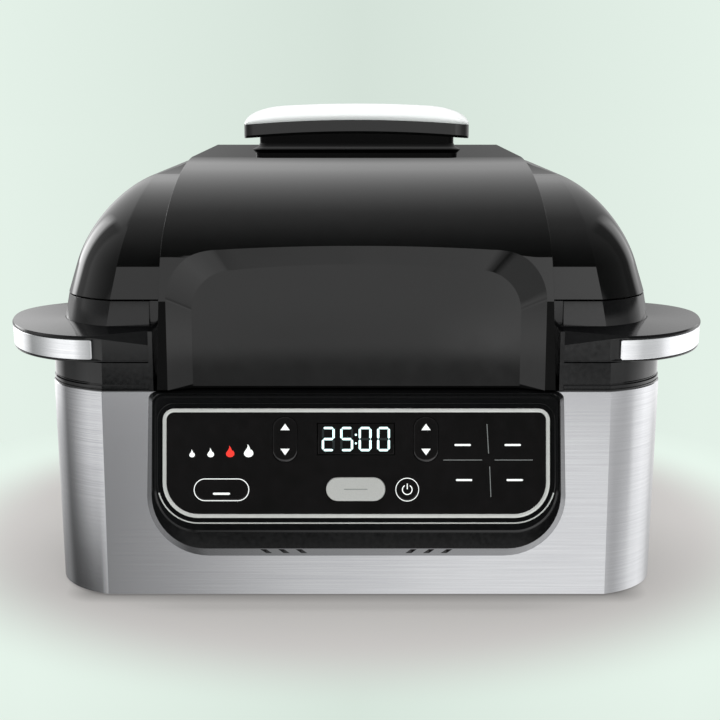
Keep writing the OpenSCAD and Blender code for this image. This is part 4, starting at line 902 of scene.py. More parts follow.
@dataclass
class Hood:
    """Hood shell with creased corners, and the raised band with its arched apron."""

    width: float = 345
    front: float = 132.5
    back: float = 155
    foot: float = 170.5
    curve_z: float = 188
    curve_h: float = 48.5
    curve_d: float = 96
    crown: float = 4.5
    wall: float = 2.5
    turn: float = 80
    steps: int = 28
    draft: float = 0.34
    shoulder: float = 31
    crease_in: float = 31.4
    crease_draft: float = 0.2346
    back_corner: float = 38
    back_tuck: float = 34
    back_d: float = 21
    top_in: float = 14
    band_top: float = 246.9
    band_front: float = 157.3
    band_back: float = 161
    band_curve: float = 50.2
    band_turn: float = 84
    tail_turn: float = 75
    band_end: float = 34
    rear_rise: float = 1.4
    tail_d: float = 26
    tail_h: float = 34
    apron_z: float = 122.5
    apron_hw: float = 112
    band_hw: float = 104
    arch_rail: float = 6
    arch_lift: float = 6.4
    arch_r: float = 30
    arch_depth: float = 7
    arch_bevel: float = 13.5
    arch_crest: float = 3.4
    side_round: float = 3.2
    # Height below which the rails beside the arch carry painted shade
    rail_top: float = 173

    @property
    def arch_top(self) -> float:
        """Height of the arch at its shoulders, under its crest."""
        return self.band_top - self.band_curve + self.arch_lift

    def height(self, a: float) -> float:
        """Height of the section at turn a."""
        return self.foot if a < 0 else self.curve_z + self.curve_h * sin(a) / sin(self.turn)

    def share(self, a: float) -> float:
        """Share of the curve's depth at turn a."""
        return 0.0 if a < 0 else (1 - cos(a)) / (1 - cos(self.turn))

    def half(self, a: float) -> float:
        """Half width at turn a."""
        up = max(0.0, self.height(a) - self.curve_z) / (self.curve_h + 1.5)
        return (self.width / 2 - self.draft * (self.height(a) - self.foot)
                - self.shoulder * (1 - math.sqrt(max(0.0, 1 - up * up))))

    def ring(self, a: float, t: float) -> list[Point3]:
        """Hood section at turn a, its wall moved inwards by t."""
        hw = self.half(a)
        crease = self.width / 2 - self.crease_in - self.crease_draft * (self.height(a) - self.foot)
        r = max(1.2, (hw - crease) / (1 - sin(CREASE)))
        rr = max(4.0, self.back_corner - self.back_tuck * self.share(a))
        front = self.front - self.curve_d * self.share(a)
        back = self.back - self.back_d * self.share(a)
        drop = 0.0 if a < 0 else t * sin(a)
        return level(plan(hw - t, front - t, back - t, max(0.4, r - t), max(0.4, rr - t)),
                     self.height(a) - drop)

    def cap(self, t: float) -> list[Point3]:
        """Flat crown."""
        inset = self.top_in + t
        return level(plan(self.half(self.turn) - inset, self.front - self.curve_d - inset,
                          self.back - self.back_d - inset, max(0.4, 1.2 - t),
                          max(0.4, 4 - t)),
                     self.curve_z + self.curve_h + self.crown - t)

    def shell(self) -> bpy.types.Object:
        """The hood's moulded shell."""
        turns = [-1.0] + [self.turn * i / self.steps for i in range(self.steps + 1)]
        rings = [self.cap(self.wall)] + [self.ring(a, self.wall) for a in reversed(turns)]
        rings += [self.ring(a, 0) for a in turns] + [self.cap(0)]
        return Solid().loft(rings).build("hood_shell_moulding", 11)

    def side_line(self, t: float, steps: int = 40, tail: int = 12) -> list[Point2]:
        """Side line (y, z) of the band, moved inwards by t."""
        y0, span = -self.band_front + t, self.band_front - self.band_end
        base = self.band_top - self.band_curve
        line, whole = [(y0, self.apron_z)], self.band_turn
        line += [(y0 + span * (1 - cos(whole * i / steps)) / (1 - cos(whole)),
                  base + (self.band_curve - t) * sin(whole * i / steps) / sin(whole))
                 for i in range(steps + 1)]
        rear, top = self.back - self.tail_d, self.band_top + self.rear_rise - t
        line, whole = line + [(rear, top)], self.tail_turn
        return line + [(rear + (self.band_back - t - rear) * sin(whole * i / tail) / sin(whole),
                        top - self.tail_h * (1 - cos(whole * i / tail)) / (1 - cos(whole)))
                       for i in range(1, tail + 1)]

    def under_line(self, t: float) -> list[Point2]:
        """Side line (y, z) of the shell across the middle, moved outwards by t."""
        turns = [self.turn * i / self.steps for i in range(self.steps + 1)]
        top = self.curve_z + self.curve_h + self.crown
        line = [(-self.front - t, 0.0), (-self.front - t, self.foot)]
        line += [(-self.front + self.curve_d * self.share(a) - t * cos(a),
                  self.height(a) + t * sin(a)) for a in turns]
        line += [(-self.front + self.curve_d + self.top_in, top + t),
                 (self.back - self.back_d - self.top_in, top + t)]
        line += [(self.back - self.back_d * self.share(a) + t * cos(a),
                  self.height(a) + t * sin(a)) for a in reversed(turns)]
        return line + [(self.back + t, 0.0)]

    def front_line(self, t: float) -> list[Point2]:
        """Front outline (x, z) of apron and band, moved inwards by t."""
        low, mid, high = self.apron_hw - t, self.apron_hw - 2.5 - t, self.band_hw - t
        right = [(low, self.apron_z - 10), (low, self.apron_z), (mid, self.curve_z - 4),
                 (high, self.band_top - 2), (high, self.band_top + 150)]
        return both_sides(right)

    def arch(self, t: float) -> list[Point2]:
        """Outline (x, z) of the arched recess, moved inwards by t."""
        hw, top, r = self.apron_hw - self.arch_rail - t, self.arch_top - t, self.arch_r - t / 2
        right = [(hw, self.apron_z - 20)] + arc(hw - r, top - r, r, 0, 90, 20)
        crest = [(mix(hw - r, 0, i / 8), i / 8) for i in range(1, 8)]
        right += [(x, top + self.arch_crest * (1 - (1 - up) ** 2)) for x, up in crest]
        return both_sides(right)

    def band(self) -> bpy.types.Object:
        """Raised band, its apron and the arched recess in it."""
        foot = self.band_top + self.rear_rise - self.tail_h
        profile = self.side_line(0) + [(self.band_back, foot - 5), (0, foot - 5), (0, self.apron_z)]
        piece = Solid().across(profile, self.apron_hw + 1).build("hood_band_moulding")
        carve(piece, [Solid().along(self.front_line(0), -FAR, FAR).build("tool")], "INTERSECT")
        round_edges(piece, self.side_round, 5, 60)
        settle(piece)
        crest = self.arch_top + self.arch_crest
        hollow = [(-self.band_front + self.wall + self.arch_depth, self.apron_z - 5)]
        hollow += [p for p in self.side_line(self.wall) if p[1] > crest + 2]
        hollow += [(self.band_back - self.wall, foot - 20), (0, 0)]
        inside = Solid().across(hollow, self.apron_hw).build("inside")
        carve(inside, [Solid().along(self.front_line(self.wall), -FAR, FAR).build("tool")],
              "INTERSECT")
        under = Solid().across(self.under_line(0.3), self.apron_hw + 2).build("under")
        low = Solid().box((-150, -self.front - 0.3, 0), (150, FAR, self.foot + 1)).build("low")
        face = -self.band_front
        recess = Solid().loft([
            [(x, face + self.arch_depth, z) for x, z in self.arch(self.arch_bevel)],
            [(x, face - 0.01, z) for x, z in self.arch(0)],
            [(x, face - 30, z) for x, z in self.arch(0)]]).build("recess")
        return carve(piece, [inside, under, low, recess])

    def paint_rail_shade(self, band: bpy.types.Object) -> None:
        """Paints shade on the rails beside the arch, below its curve: their faces there take the
        near-matt black of painted shade.
        """
        band.data.materials.append(Coat.PAINTED_SHADE_BLACK.material)
        mesh = bmesh.new()
        mesh.from_mesh(band.data)
        bmesh.ops.bisect_plane(mesh, geom=mesh.verts[:] + mesh.edges[:] + mesh.faces[:],
                               plane_co=(0, 0, self.rail_top * MM), plane_no=(0, 0, 1))
        mesh.to_mesh(band.data)
        mesh.free()
        for face in band.data.polygons:
            x, y, z = (c / MM for c in face.center)
            flat = abs(abs(y) - self.band_front) < 0.05
            turned = abs(x) > self.apron_hw - 4 and face.normal.y < -0.3
            # Faces of the rails below rail_top carry painted shade
            if z < self.rail_top and y < 0 and (flat or turned):
                face.material_index = 1

    def make(self) -> None:
        """Builds and dresses the hood's outer pieces."""
        dress(soften(self.shell(), 0.5, 2, 14, 25), Coat.GLOSS_BLACK, "hood", "gloss_black",
              ["hood_shell"])
        band = dress(soften(self.band(), 0.5, 3, 20, 30), Coat.GLOSS_BLACK, "hood",
                     "gloss_black", ["hood_band"])
        # Painted shade on the rails beside the arch
        self.paint_rail_shade(band)


@dataclass
class HoodHandle:
    """Pedestal, arched grip and domed steel cap on the hood."""

    width: float = 137.8
    front: float = -64
    depth: float = 53
    pad: float = 248
    pad_h: float = 5
    finger_gap: float = 11.2
    grip_t: float = 8.3
    cap_h: float = 9.5
    cap_edge: float = 0.6
    cap_run: float = 24
    end_r: float = 9
    chamfer: float = 1.5
    arch: float = 3
    foot: float = 241.7
    inset: float = 7
    finger: float = 20

    def stations(self) -> list[float]:
        """Places along the handle, close together at its rounded ends."""
        hw = self.width / 2
        ends = [self.end_r * (1 - cos(90 * i / 12)) for i in range(13)]
        flat = hw - self.end_r
        middle = [mix(-flat, flat, i / 24) for i in range(1, 24)]
        return [e - hw for e in ends] + middle + [hw - e for e in reversed(ends)]

    def lift(self, x: float) -> float:
        """Height of the arch at x."""
        return self.arch * (1 - (x / (self.width / 2)) ** 2)

    def drawn_in(self, x: float) -> float:
        """How far the rounded ends draw in the front and back."""
        d = max(0.0, abs(x) - self.width / 2 + self.end_r)
        return self.end_r - math.sqrt(max(0.0, self.end_r ** 2 - d * d))

    def grip(self) -> bpy.types.Object:
        """The moulded grip under the cap."""
        base, sections = self.pad + self.finger_gap, []
        for x in self.stations():
            z, cut = base + self.lift(x), self.drawn_in(x)
            y0, y1 = self.front + cut, self.front + self.depth - cut
            sections.append([(x, y0 + self.chamfer, z), (x, y1 - self.chamfer, z),
                             (x, y1, z + self.chamfer), (x, y1, z + self.grip_t),
                             (x, y0, z + self.grip_t), (x, y0, z + self.chamfer)])
        return Solid().loft(sections).build("handle_grip_moulding")

    def cap(self) -> bpy.types.Object:
        """The domed cap with its thin edge."""
        base, sections = self.pad + self.finger_gap + self.grip_t + 0.02, []
        shares = [(1 - cos(180 * i / 22)) / 2 for i in range(23)]
        for x in self.stations():
            z, cut = base + self.lift(x), self.drawn_in(x) + 0.3
            y0, y1 = self.front + cut, self.front + self.depth - cut
            s = min(1.0, (self.width / 2 - abs(x)) / self.cap_run)
            rise = (self.cap_h - self.cap_edge) * mix(0.12, 1, math.sqrt(1 - (1 - s) ** 2))
            dome = [(x, mix(y0, y1, v), z + self.cap_edge + rise * max(0.0, sin(180 * v)) ** 0.55)
                    for v in reversed(shares)]
            sections.append([(x, y0, z), (x, y1, z)] + dome)
        return Solid().loft(sections).build("handle_cap_dome", 30)

    def pedestal(self) -> bpy.types.Object:
        """The flared foot on the band and the neck that carries the grip."""
        hw, y0, y1 = self.width / 2 - self.inset, self.front + self.finger, self.front + self.depth
        top = self.pad + self.pad_h
        steps = ((1.5, 2, 2, 6, self.foot), (1.5, 2, 2, 6, top - 3.4),
                 (2.9, 0.6, 1.4, 6, top - 1.7), (3.2, 0.2, 1.2, 6, top - 1.2),
                 (2.7, 0.7, 1.6, 5.8, top - 0.8), (1.2, 2.6, 2.6, 5.5, top - 0.2),
                 (-0.2, 5.2, 3.4, 5.2, top + 0.9), (-0.8, 7, 4, 5, top + 2.6),
                 (-0.8, 7, 4, 5, self.pad + self.finger_gap + 2.6))
        rings = [level(rrect(hw + wide, y0 + ahead, y1 - behind, r), z)
                 for wide, ahead, behind, r, z in steps]
        return Solid().loft(rings).build("handle_pedestal", 30)

    def make(self) -> None:
        """Builds and dresses the handle."""
        # The pedestal takes the near-matt black of painted shade, not the gloss black of its slot
        pieces = [
            dress(self.pedestal(), Coat.PAINTED_SHADE_BLACK, "hood", "gloss_black", ["handle_base"]),
            dress(soften(self.grip(), 0.5, 2, 30, 40), Coat.GLOSS_BLACK, "hood", "gloss_black",
                  ["handle_grip"]),
            dress(self.cap(), Coat.CAP_STEEL, "hood", "handle_steel", ["handle_cap"])]
        for piece in pieces:
            piece.visible_glossy = False


# ---------------------------------------------------------------- console


@dataclass
class Console:
    """Sloping control console with its bright frame, glass, keys, figures and print."""

    width: float = 239.4
    foot: float = 24.6
    top: float = 121.5
    steel_y: float = -155
    nose_z: float = 36
    nose_y: float = -176.2
    face_y: float = -176.3
    face_z: float = 45
    face_y_top: float = -161
    frame_w: float = 216.6
    frame_lo: float = 8.5
    frame_hi: float = 69.7
    bar: float = 2.2
    wall: float = 2.5
    glass_t: float = 1.5
    back_w: float = -3
    gap: float = 0.3
    slots_x: Point3 = (31, 41, 51)
    slot_hw: float = 1.7
    slot_lean: float = 1.3
    slot_y: Point2 = (-174.2, -162.6)
    liner_y: Point2 = (-172.4, -160.5)
    figure: Point3 = (7.2, 13.6, 10.3)
    stroke: float = 1.25
    flame_v: float = 42.4
    print_t: float = 0.06
    # Height over the face's foot up to which the bead carries the painted highlight
    bead_highlight_top: float = 22
    start: tuple[float, float, float, float] = (-0.3, 24.6, 16.4, 6.5)
    power: tuple[float, float, float, float] = (28.5, 24.4, 6.6, 6.6)
    grill: tuple[float, float, float, float] = (-75.3, 24.3, 15.5, 6.3)
    temperature: Point2 = (-39.8, 52.4)
    timer: Point2 = (39.0, 52.4)
    window: tuple[float, float, float, float] = (-22, 43.6, 21.6, 61.6)

    @property
    def tilt(self) -> float:
        """Lean of the face from upright, in degrees."""
        return math.degrees(math.atan((self.face_y_top - self.face_y) / (self.top - self.face_z)))

    @property
    def face_h(self) -> float:
        """Length of the face up its slope."""
        return (self.top - self.face_z) / cos(self.tilt)

    def on_face(self, x: float, v: float, w: float = 0.0) -> Point3:
        """Place of a point on the sloping face.

        Args:
            x: across.
            v: up the slope.
            w: out of the face.

        Returns:
            The point in the frame's axes.
        """
        return (x, self.face_y + v * sin(self.tilt) - w * cos(self.tilt),
                self.face_z + v * cos(self.tilt) + w * sin(self.tilt))

    def lay(self, outline: Iterable[Point2], w: float = 0.0) -> list[Point3]:
        """Lays an outline of (x, v) on the face at a height w."""
        return [self.on_face(x, v, w) for x, v in outline]

    def plate(self, solid: Solid, outline: Sequence[Point2], w0: float, w1: float) -> Solid:
        """Adds a flat plate with the given outline between two heights over the face."""
        return solid.loft([self.lay(outline, w0), self.lay(outline, w1)])

    def frame_line(self, t: float) -> list[Point2]:
        """Outline of the bright frame, moved inwards by t."""
        hw = self.frame_w / 2 - t
        return rounded(hw, hw, self.frame_lo + t, self.frame_hi - t, max(1.0, 20 - t),
                       max(1.0, 6.5 - t))

    def face_line(self, t: float) -> list[Point2]:
        """Outline of the face, moved inwards by t."""
        hw = self.width / 2 - 6.2 - t
        return rounded(hw, hw, t, self.face_h - 1 - t, 25 - t, 5 - t / 2)

    def sections(self, t: float) -> list[list[Point3]]:
        """Console sections at the steel and at the nose, moved inwards by t."""
        hw, run = self.width / 2 - t, self.top - self.nose_z
        lean = (self.face_y_top + 0.4 - self.nose_y) / run
        back = [(x, self.steel_y, z) for x, z in
                rounded(hw, hw - 2.4, self.foot + t, self.top - t, 35 - t, 5 - t / 2)]
        nose = [(x, self.nose_y + (z - self.nose_z) * lean, z) for x, z in
                rounded(hw - 5, hw - 5.4, self.nose_z + t * 2, self.top - t, 30 - t, 5 - t / 2)]
        return [back, nose]

    def shell(self) -> bpy.types.Object:
        """Console moulding: sides, rounded face edge, fine step round the frame, glass seat."""
        outer, inner = self.sections(0), self.sections(self.wall)
        seat = self.bar + 4
        rings = [inner[0], outer[0], outer[1]]
        rings += [self.lay(self.face_line(t), w) for t, w in
                  ((0, -1.6), (0.5, -1.0), (1.6, -0.6), (3.6, -0.62))]
        rings += [self.lay(self.frame_line(t), w) for t, w in
                  ((-3.4, -0.62), (-2.4, -0.6), (-1.2, -0.6), (-1.0, -0.9), (-0.1, -0.9), (0, 0.0),
                   (self.bar, 0.0), (self.bar, -self.glass_t), (seat, -self.glass_t),
                   (seat, self.back_w))]
        rings += [self.lay(self.face_line(self.wall + 1), self.back_w), inner[1]]
        shell = Solid().loft(rings, closed=True).build("console_moulding")
        slots, half, (y0, y1) = Solid(), self.slot_hw, self.slot_y
        for side in (-1, 1):
            lean = -self.slot_lean * side
            for x in self.slots_x:
                slots.loft([[(side * x + s - mix(lean, -lean, k), mix(y0, y1, k), z)
                             for s, k in ((-half, 0), (half, 0), (half, 1), (-half, 1))]
                            for z in (20, 36.6)])
        return carve(shell, [slots.build("slots")])

    def slot_liner(self) -> bpy.types.Object:
        """Near-matt black sheet with turned-up edges behind the slots: painted shade that closes
        them from inside.
        """
        slope = (self.nose_z - self.foot) / (self.steel_y - self.nose_y)
        solid, (y0, y1) = Solid(), self.liner_y
        first, last = self.slots_x[0] - 6, self.slots_x[-1] + 6
        for side in (-1, 1):
            solid.loft([[(side * x, y, self.foot + (self.steel_y - y) * slope + h + up)
                         for y, h in ((y0, 3.2), (y1, 3.2), (y1, 4.2), (y0, 4.2))]
                        for x, up in ((first, 1.6), (first + 3, 0), (last - 3, 0), (last, 1.6))])
        return solid.build("slot_liner", 30)

    def bead(self) -> bpy.types.Object:
        """Thin bead that runs round outside the frame; its lower run carries a painted highlight,
        the rest is black plastic.
        """
        rings = [self.lay(self.frame_line(t), w) for t, w in
                 ((-3.3, -0.75), (-3.25, -0.2), (-2.9, 0.12), (-2.6, -0.1), (-2.5, -0.75))]
        return Solid().loft(rings, closed=True).build("panel_bead", 50)

    def bright_frame(self) -> bpy.types.Object:
        """Bright frame with a rolled cross section."""
        rings = [self.lay(self.frame_line(t), w) for t, w in
                 ((0, 0), (0.05, 0.4), (0.35, 0.72), (0.8, 0.82), (1.4, 0.82), (1.85, 0.72),
                  (2.15, 0.4), (2.2, 0))]
        return Solid().loft(rings, closed=True).build("panel_frame_chrome", 50)

    def rocker_line(self, centre: Point2, grow: float = 0.0) -> list[Point2]:
        """Outline of a rocker key: an upright pill with square shoulders."""
        w, h = 6.8 + grow, 12.5 + grow
        r = min(6.4, w - 0.1)
        return [(centre[0] + x, centre[1] + y) for x, y in rounded(w, w, -h, h, r, r)]

    def glass(self) -> bpy.types.Object:
        """Printed acrylic with its key holes and display window."""
        solid = self.plate(Solid(), self.frame_line(self.bar + 0.1), -self.glass_t, 0.0)
        holes = Solid()
        for x, v, half, r in (self.start, self.power, self.grill):
            self.plate(holes, pill(x, v, half + self.gap, r + self.gap), -5, 5)
        for centre in (self.temperature, self.timer):
            self.plate(holes, self.rocker_line(centre, self.gap), -5, 5)
        x0, v0, x1, v1 = self.window
        self.plate(holes, [(x0, v0), (x1, v0), (x1, v1), (x0, v1)], -5, 5)
        return carve(solid.build("panel_acrylic"), [holes.build("holes")])

    def key(self, name: str, shape: tuple[float, float, float, float]) -> bpy.types.Object:
        """A push key with a softly domed cap and a flange behind the glass."""
        x, v, half, r = shape
        rings = [self.lay(pill(x, v, half + g, r + g), w) for g, w in
                 ((1.2, -2.8), (1.2, -1.8), (0, -1.8), (0, 0.35), (-0.12, 0.55), (-0.4, 0.68),
                  (-1.2, 0.7))]
        stem = [self.lay(circle(x, v, 2, 16), w) for w in (-5.8, -2.8)]
        return Solid().loft(rings).loft(stem).build(name, 50)

    def rocker(self, name: str, centre: Point2) -> bpy.types.Object:
        """A rocker key, slightly dished, on its round rib."""
        rings = [self.lay(self.rocker_line(centre, g), w) for g, w in
                 ((1, -3.3), (1, -2.3), (0, -2.3), (0, 0.1), (-0.15, 0.3), (-0.5, 0.4),
                  (-2.2, 0.34))]
        solid = Solid().loft(rings)
        rib = [[self.on_face(centre[0] + s, centre[1] + cos(a), -3.3 + sin(a))
                for a in range(0, 360, 20)] for s in (-4, 4)]
        return solid.loft(rib).build(name, 50)

    def printed(self, name: str, shapes: Sequence[Sequence[Point2]], low: float = 0.0,
                high: float | None = None) -> bpy.types.Object:
        """Thin printed shapes on the panel, or on a key that stands over it."""
        solid = Solid()
        for shape in shapes:
            self.plate(solid, shape, low, self.print_t if high is None else high)
        return solid.build(name, 50)

    def key_outline(self, name: str, shape: tuple[float, float, float, float],
                    line: float) -> bpy.types.Object:
        """A printed line of even thickness round the edge of a push key."""
        x, v, half, r = shape
        low, high = 0.3, 0.72
        rings = [self.lay(pill(x, v, half + g, r + g), w) for g, w in
                 ((0, low), (0, high), (-line, high), (-line, low))]
        return Solid().loft(rings, closed=True).build(name, 50)

    @staticmethod
    def flame(x: float, v: float, size: float) -> list[Point2]:
        """Outline of a small flame that stands on v."""
        shape = ((0.0, 0.0), (0.2, 0.05), (0.34, 0.19), (0.36, 0.36), (0.28, 0.52), (0.2, 0.6),
                 (0.18, 0.5), (0.12, 0.66), (0.04, 0.84), (-0.08, 1.0), (-0.08, 0.8),
                 (-0.17, 0.62), (-0.3, 0.46), (-0.36, 0.3), (-0.31, 0.14), (-0.18, 0.04))
        return [(x + a * size, v + b * size) for a, b in shape]

    @staticmethod
    def segments(x: float, v: float, w: float, h: float, t: float) -> list[list[Point2]]:
        """The seven segments of a figure: top, upper left, upper right, middle, lower left,
        lower right and bottom."""
        def bar(x0: float, v0: float, x1: float, v1: float) -> list[Point2]:
            """A segment with pointed ends between two points."""
            g, half = 0.22, t / 2
            if abs(x1 - x0) > abs(v1 - v0):
                return [(x0 + g, v0), (x0 + g + half, v0 - half), (x1 - g - half, v0 - half),
                        (x1 - g, v0), (x1 - g - half, v0 + half), (x0 + g + half, v0 + half)]
            return [(x0, v0 + g), (x0 + half, v0 + g + half), (x0 + half, v1 - g - half),
                    (x0, v1 - g), (x0 - half, v1 - g - half), (x0 - half, v0 + g + half)]
        c = t / 2
        left, right, low, middle, high = x + c, x + w - c, v + c, v + h / 2, v + h - c
        return [bar(left, high, right, high), bar(left, middle, left, high),
                bar(right, middle, right, high), bar(left, middle, right, middle),
                bar(left, low, left, middle), bar(right, low, right, middle),
                bar(left, low, right, low)]

    def display_block(self) -> bpy.types.Object:
        """The display's housing: a block with a stepped lens in front and a lug on each side."""
        x0, v0, x1, v1 = self.window
        gap = 0.1
        outline = [(x0 + gap, v0 + gap), (x1 - gap, v0 + gap), (x1 - gap, v1 - gap),
                   (x0 + gap, v1 - gap)]
        lens = [(x * 0.975, mix(v0, v1, 0.03 if v < (v0 + v1) / 2 else 0.97))
                for x, v in outline]
        block = Solid().loft([self.lay(outline, -8.4), self.lay(outline, -1.2),
                              self.lay(lens, -0.9), self.lay(lens, -0.1)])
        for side in (-1, 1):
            lug = [(side * a, v) for a, v in ((x1 + 1.8, v0 + 7), (x1 + 1.8, v0 + 11),
                                              (x1 - 1, v0 + 11), (x1 - 1, v0 + 7))]
            self.plate(block, lug, -8.2, -6.4)
        return block.build("display_block")

    def figures(self) -> None:
        """Window, lit figures and the faint unlit segments beside them."""
        x0, v0, x1, v1 = self.window
        dress(soften(self.display_block(), 0.15, 2), Coat.PANEL, "base", "black_plastic",
              ["display_module"])
        lit, unlit = [], []
        patterns = ((1, 0, 1, 1, 1, 0, 1), (1, 1, 0, 1, 0, 1, 1), (1, 1, 1, 0, 1, 1, 1),
                    (1, 1, 1, 0, 1, 1, 1))
        wide, tall, pitch = self.figure
        left = x0 + (x1 - x0 - 3 * pitch - wide) / 2
        for i, pattern in enumerate(patterns):
            shapes = self.segments(left + i * pitch, (v0 + v1 - tall) / 2, wide, tall,
                                   self.stroke)
            for on, shape in zip(pattern, shapes):
                (lit if on else unlit).append(shape)
        colon = left + 1.5 * pitch + wide / 2
        lit += [circle(colon, (v0 + v1) / 2 + d, 0.6, 12) for d in (-2.4, 2.4)]
        dress(self.printed("display_figures_lit", lit, -0.15, -0.02), Coat.LIT_SEGMENT, "base",
              "display_light", ["display_digits"])
        dress(self.printed("display_segments_unlit", unlit, -0.15, -0.05), Coat.DARK_SEGMENT,
              "base", "display_light")

    def print_marks(self) -> None:
        """Generic symbols: flames, arrows, bars, dividing lines, key outlines, power sign."""
        white = [self.flame(x, self.flame_v, s) for x, s in
                 ((-91.8, 4.4), (-81.4, 5.3), (-60.2, 7.4))]
        white += [pill(x, v, 4.6, 0.55, 6) for x, v in
                  ((59.5, 49.3), (87.5, 49.3), (60.3, 29.7), (88.6, 29.7))]
        lines = []
        for x0, v0, x1, v1 in ((73.1, 61.0, 74.0, 44.5), (74.6, 37.3, 75.3, 20.2),
                               (48.6, 40.9, 70.4, 40.9), (77.4, 40.9, 98.7, 40.9)):
            run, rise = x1 - x0, v1 - v0
            across = math.hypot(run, rise)
            a, b = 0.22 * -rise / across, 0.22 * run / across
            lines.append([(x0 + a, v0 + b), (x0 - a, v0 - b), (x1 - a, v1 - b), (x1 + a, v1 + b)])
        prints = [(self.printed("panel_print_white", white), Coat.WHITE_PRINT, "base"),
                  (self.printed("panel_print_red", [self.flame(-70.5, self.flame_v, 6.6)]),
                   Coat.RED_PRINT, "base"),
                  (self.printed("panel_print_lines", lines), Coat.GREY_PRINT, "base")]
        for name, body, (x, v) in (("temperature", "temperature_button", self.temperature),
                                   ("timer", "timer_button", self.timer)):
            arrows = [[(x - 2.6, v + s * 5.2), (x + 2.6, v + s * 5.2), (x, v + s * 8.8)]
                      for s in (-1, 1)]
            prints.append((self.printed(f"{name}_arrows", arrows, 0.3, 0.42), Coat.WHITE_PRINT,
                           body))
        bar = pill(self.grill[0], self.grill[1] - 2.2, 4.8, 0.6, 6)
        prints += [(self.printed("grill_key_bar", [bar], 0.68, 0.74), Coat.WHITE_PRINT,
                    "grill_button"),
                   (self.key_outline("grill_key_outline", self.grill, 0.45), Coat.WHITE_PRINT,
                    "grill_button"),
                   (self.key_outline("power_key_outline", self.power, 0.4), Coat.WHITE_PRINT,
                    "power_button"),
                   (self.power_sign(), Coat.WHITE_PRINT, "power_button")]
        for piece, coat, body in prints:
            dress(piece, coat, body, "display_light")
        dress(self.key_outline("start_key_rim", self.start, 0.35), Coat.CHROME, "start_button",
              "silver_key")
        line = pill(self.start[0], self.start[1], 6.6, 0.2, 4)
        dress(self.printed("start_key_line", [line], 0.69, 0.74), Coat.GREY_PRINT,
              "start_button", "silver_key")

    def power_sign(self) -> bpy.types.Object:
        """Open ring with an upright stroke."""
        x, v = self.power[0], self.power[1]
        turns = [mix(122, 418, i / 30) for i in range(31)]
        r, line, low, high = 2.7, 0.28, 0.68, 0.74
        ring = Solid().loft([[self.on_face(x + (r + d) * cos(a), v + (r + d) * sin(a), w)
                              for d, w in ((line, low), (line, high), (-line, high), (-line, low))]
                             for a in turns])
        stroke = [(x + side * line, v + up) for side, up in
                  ((-1, 0.2), (1, 0.2), (1, 3.4), (-1, 3.4))]
        return self.plate(ring, stroke, low, high).build("power_sign", 50)

    def make(self) -> None:
        """Builds and dresses the console's pieces."""
        dress(soften(self.shell(), 0.8, 3, 20, 38), Coat.BLACK_PLASTIC, "base", "black_plastic",
              ["control_housing", "control_bezel"])
        # The sheet behind the slots is painted shade
        dress(self.slot_liner(), Coat.PAINTED_SHADE_BLACK, "base", "black_plastic")
        bead = dress(self.bead(), Coat.HIGHLIGHT_BEAD, "base", "chrome_trim")
        # Up to this height the bead is coloured as a painted highlight; above it, plain black
        # plastic
        bead.data.materials.append(Coat.BLACK_PLASTIC.material)
        for face in bead.data.polygons:
            if face.center.z > (self.face_z + self.bead_highlight_top) * MM:
                face.material_index = 1
        dress(self.bright_frame(), Coat.CHROME, "base", "chrome_trim", ["panel_trim"])
        dress(self.glass(), Coat.PANEL, "base", "panel_glass", ["panel_glass"])
        keys = (("start_key_cap", self.start, Coat.SILVER_KEY, "start_button", "silver_key",
                 "start_key"),
                ("power_key_cap", self.power, Coat.PANEL, "power_button", "gloss_black",
                 "power_key"),
                ("grill_key_cap", self.grill, Coat.PANEL, "grill_button", "gloss_black",
                 "grill_key"))
        for name, shape, coat, body, slot, node in keys:
            dress(self.key(name, shape), coat, body, slot, [node])
        for name, centre, body, node in (
                ("temperature_rocker_cap", self.temperature, "temperature_button",
                 "temperature_rocker"),
                ("timer_rocker_cap", self.timer, "timer_button", "timer_rocker")):
            dress(self.rocker(name, centre), Coat.PANEL, body, "gloss_black", [node])
        self.figures()
        self.print_marks()


# ---------------------------------------------------------------- cooking space


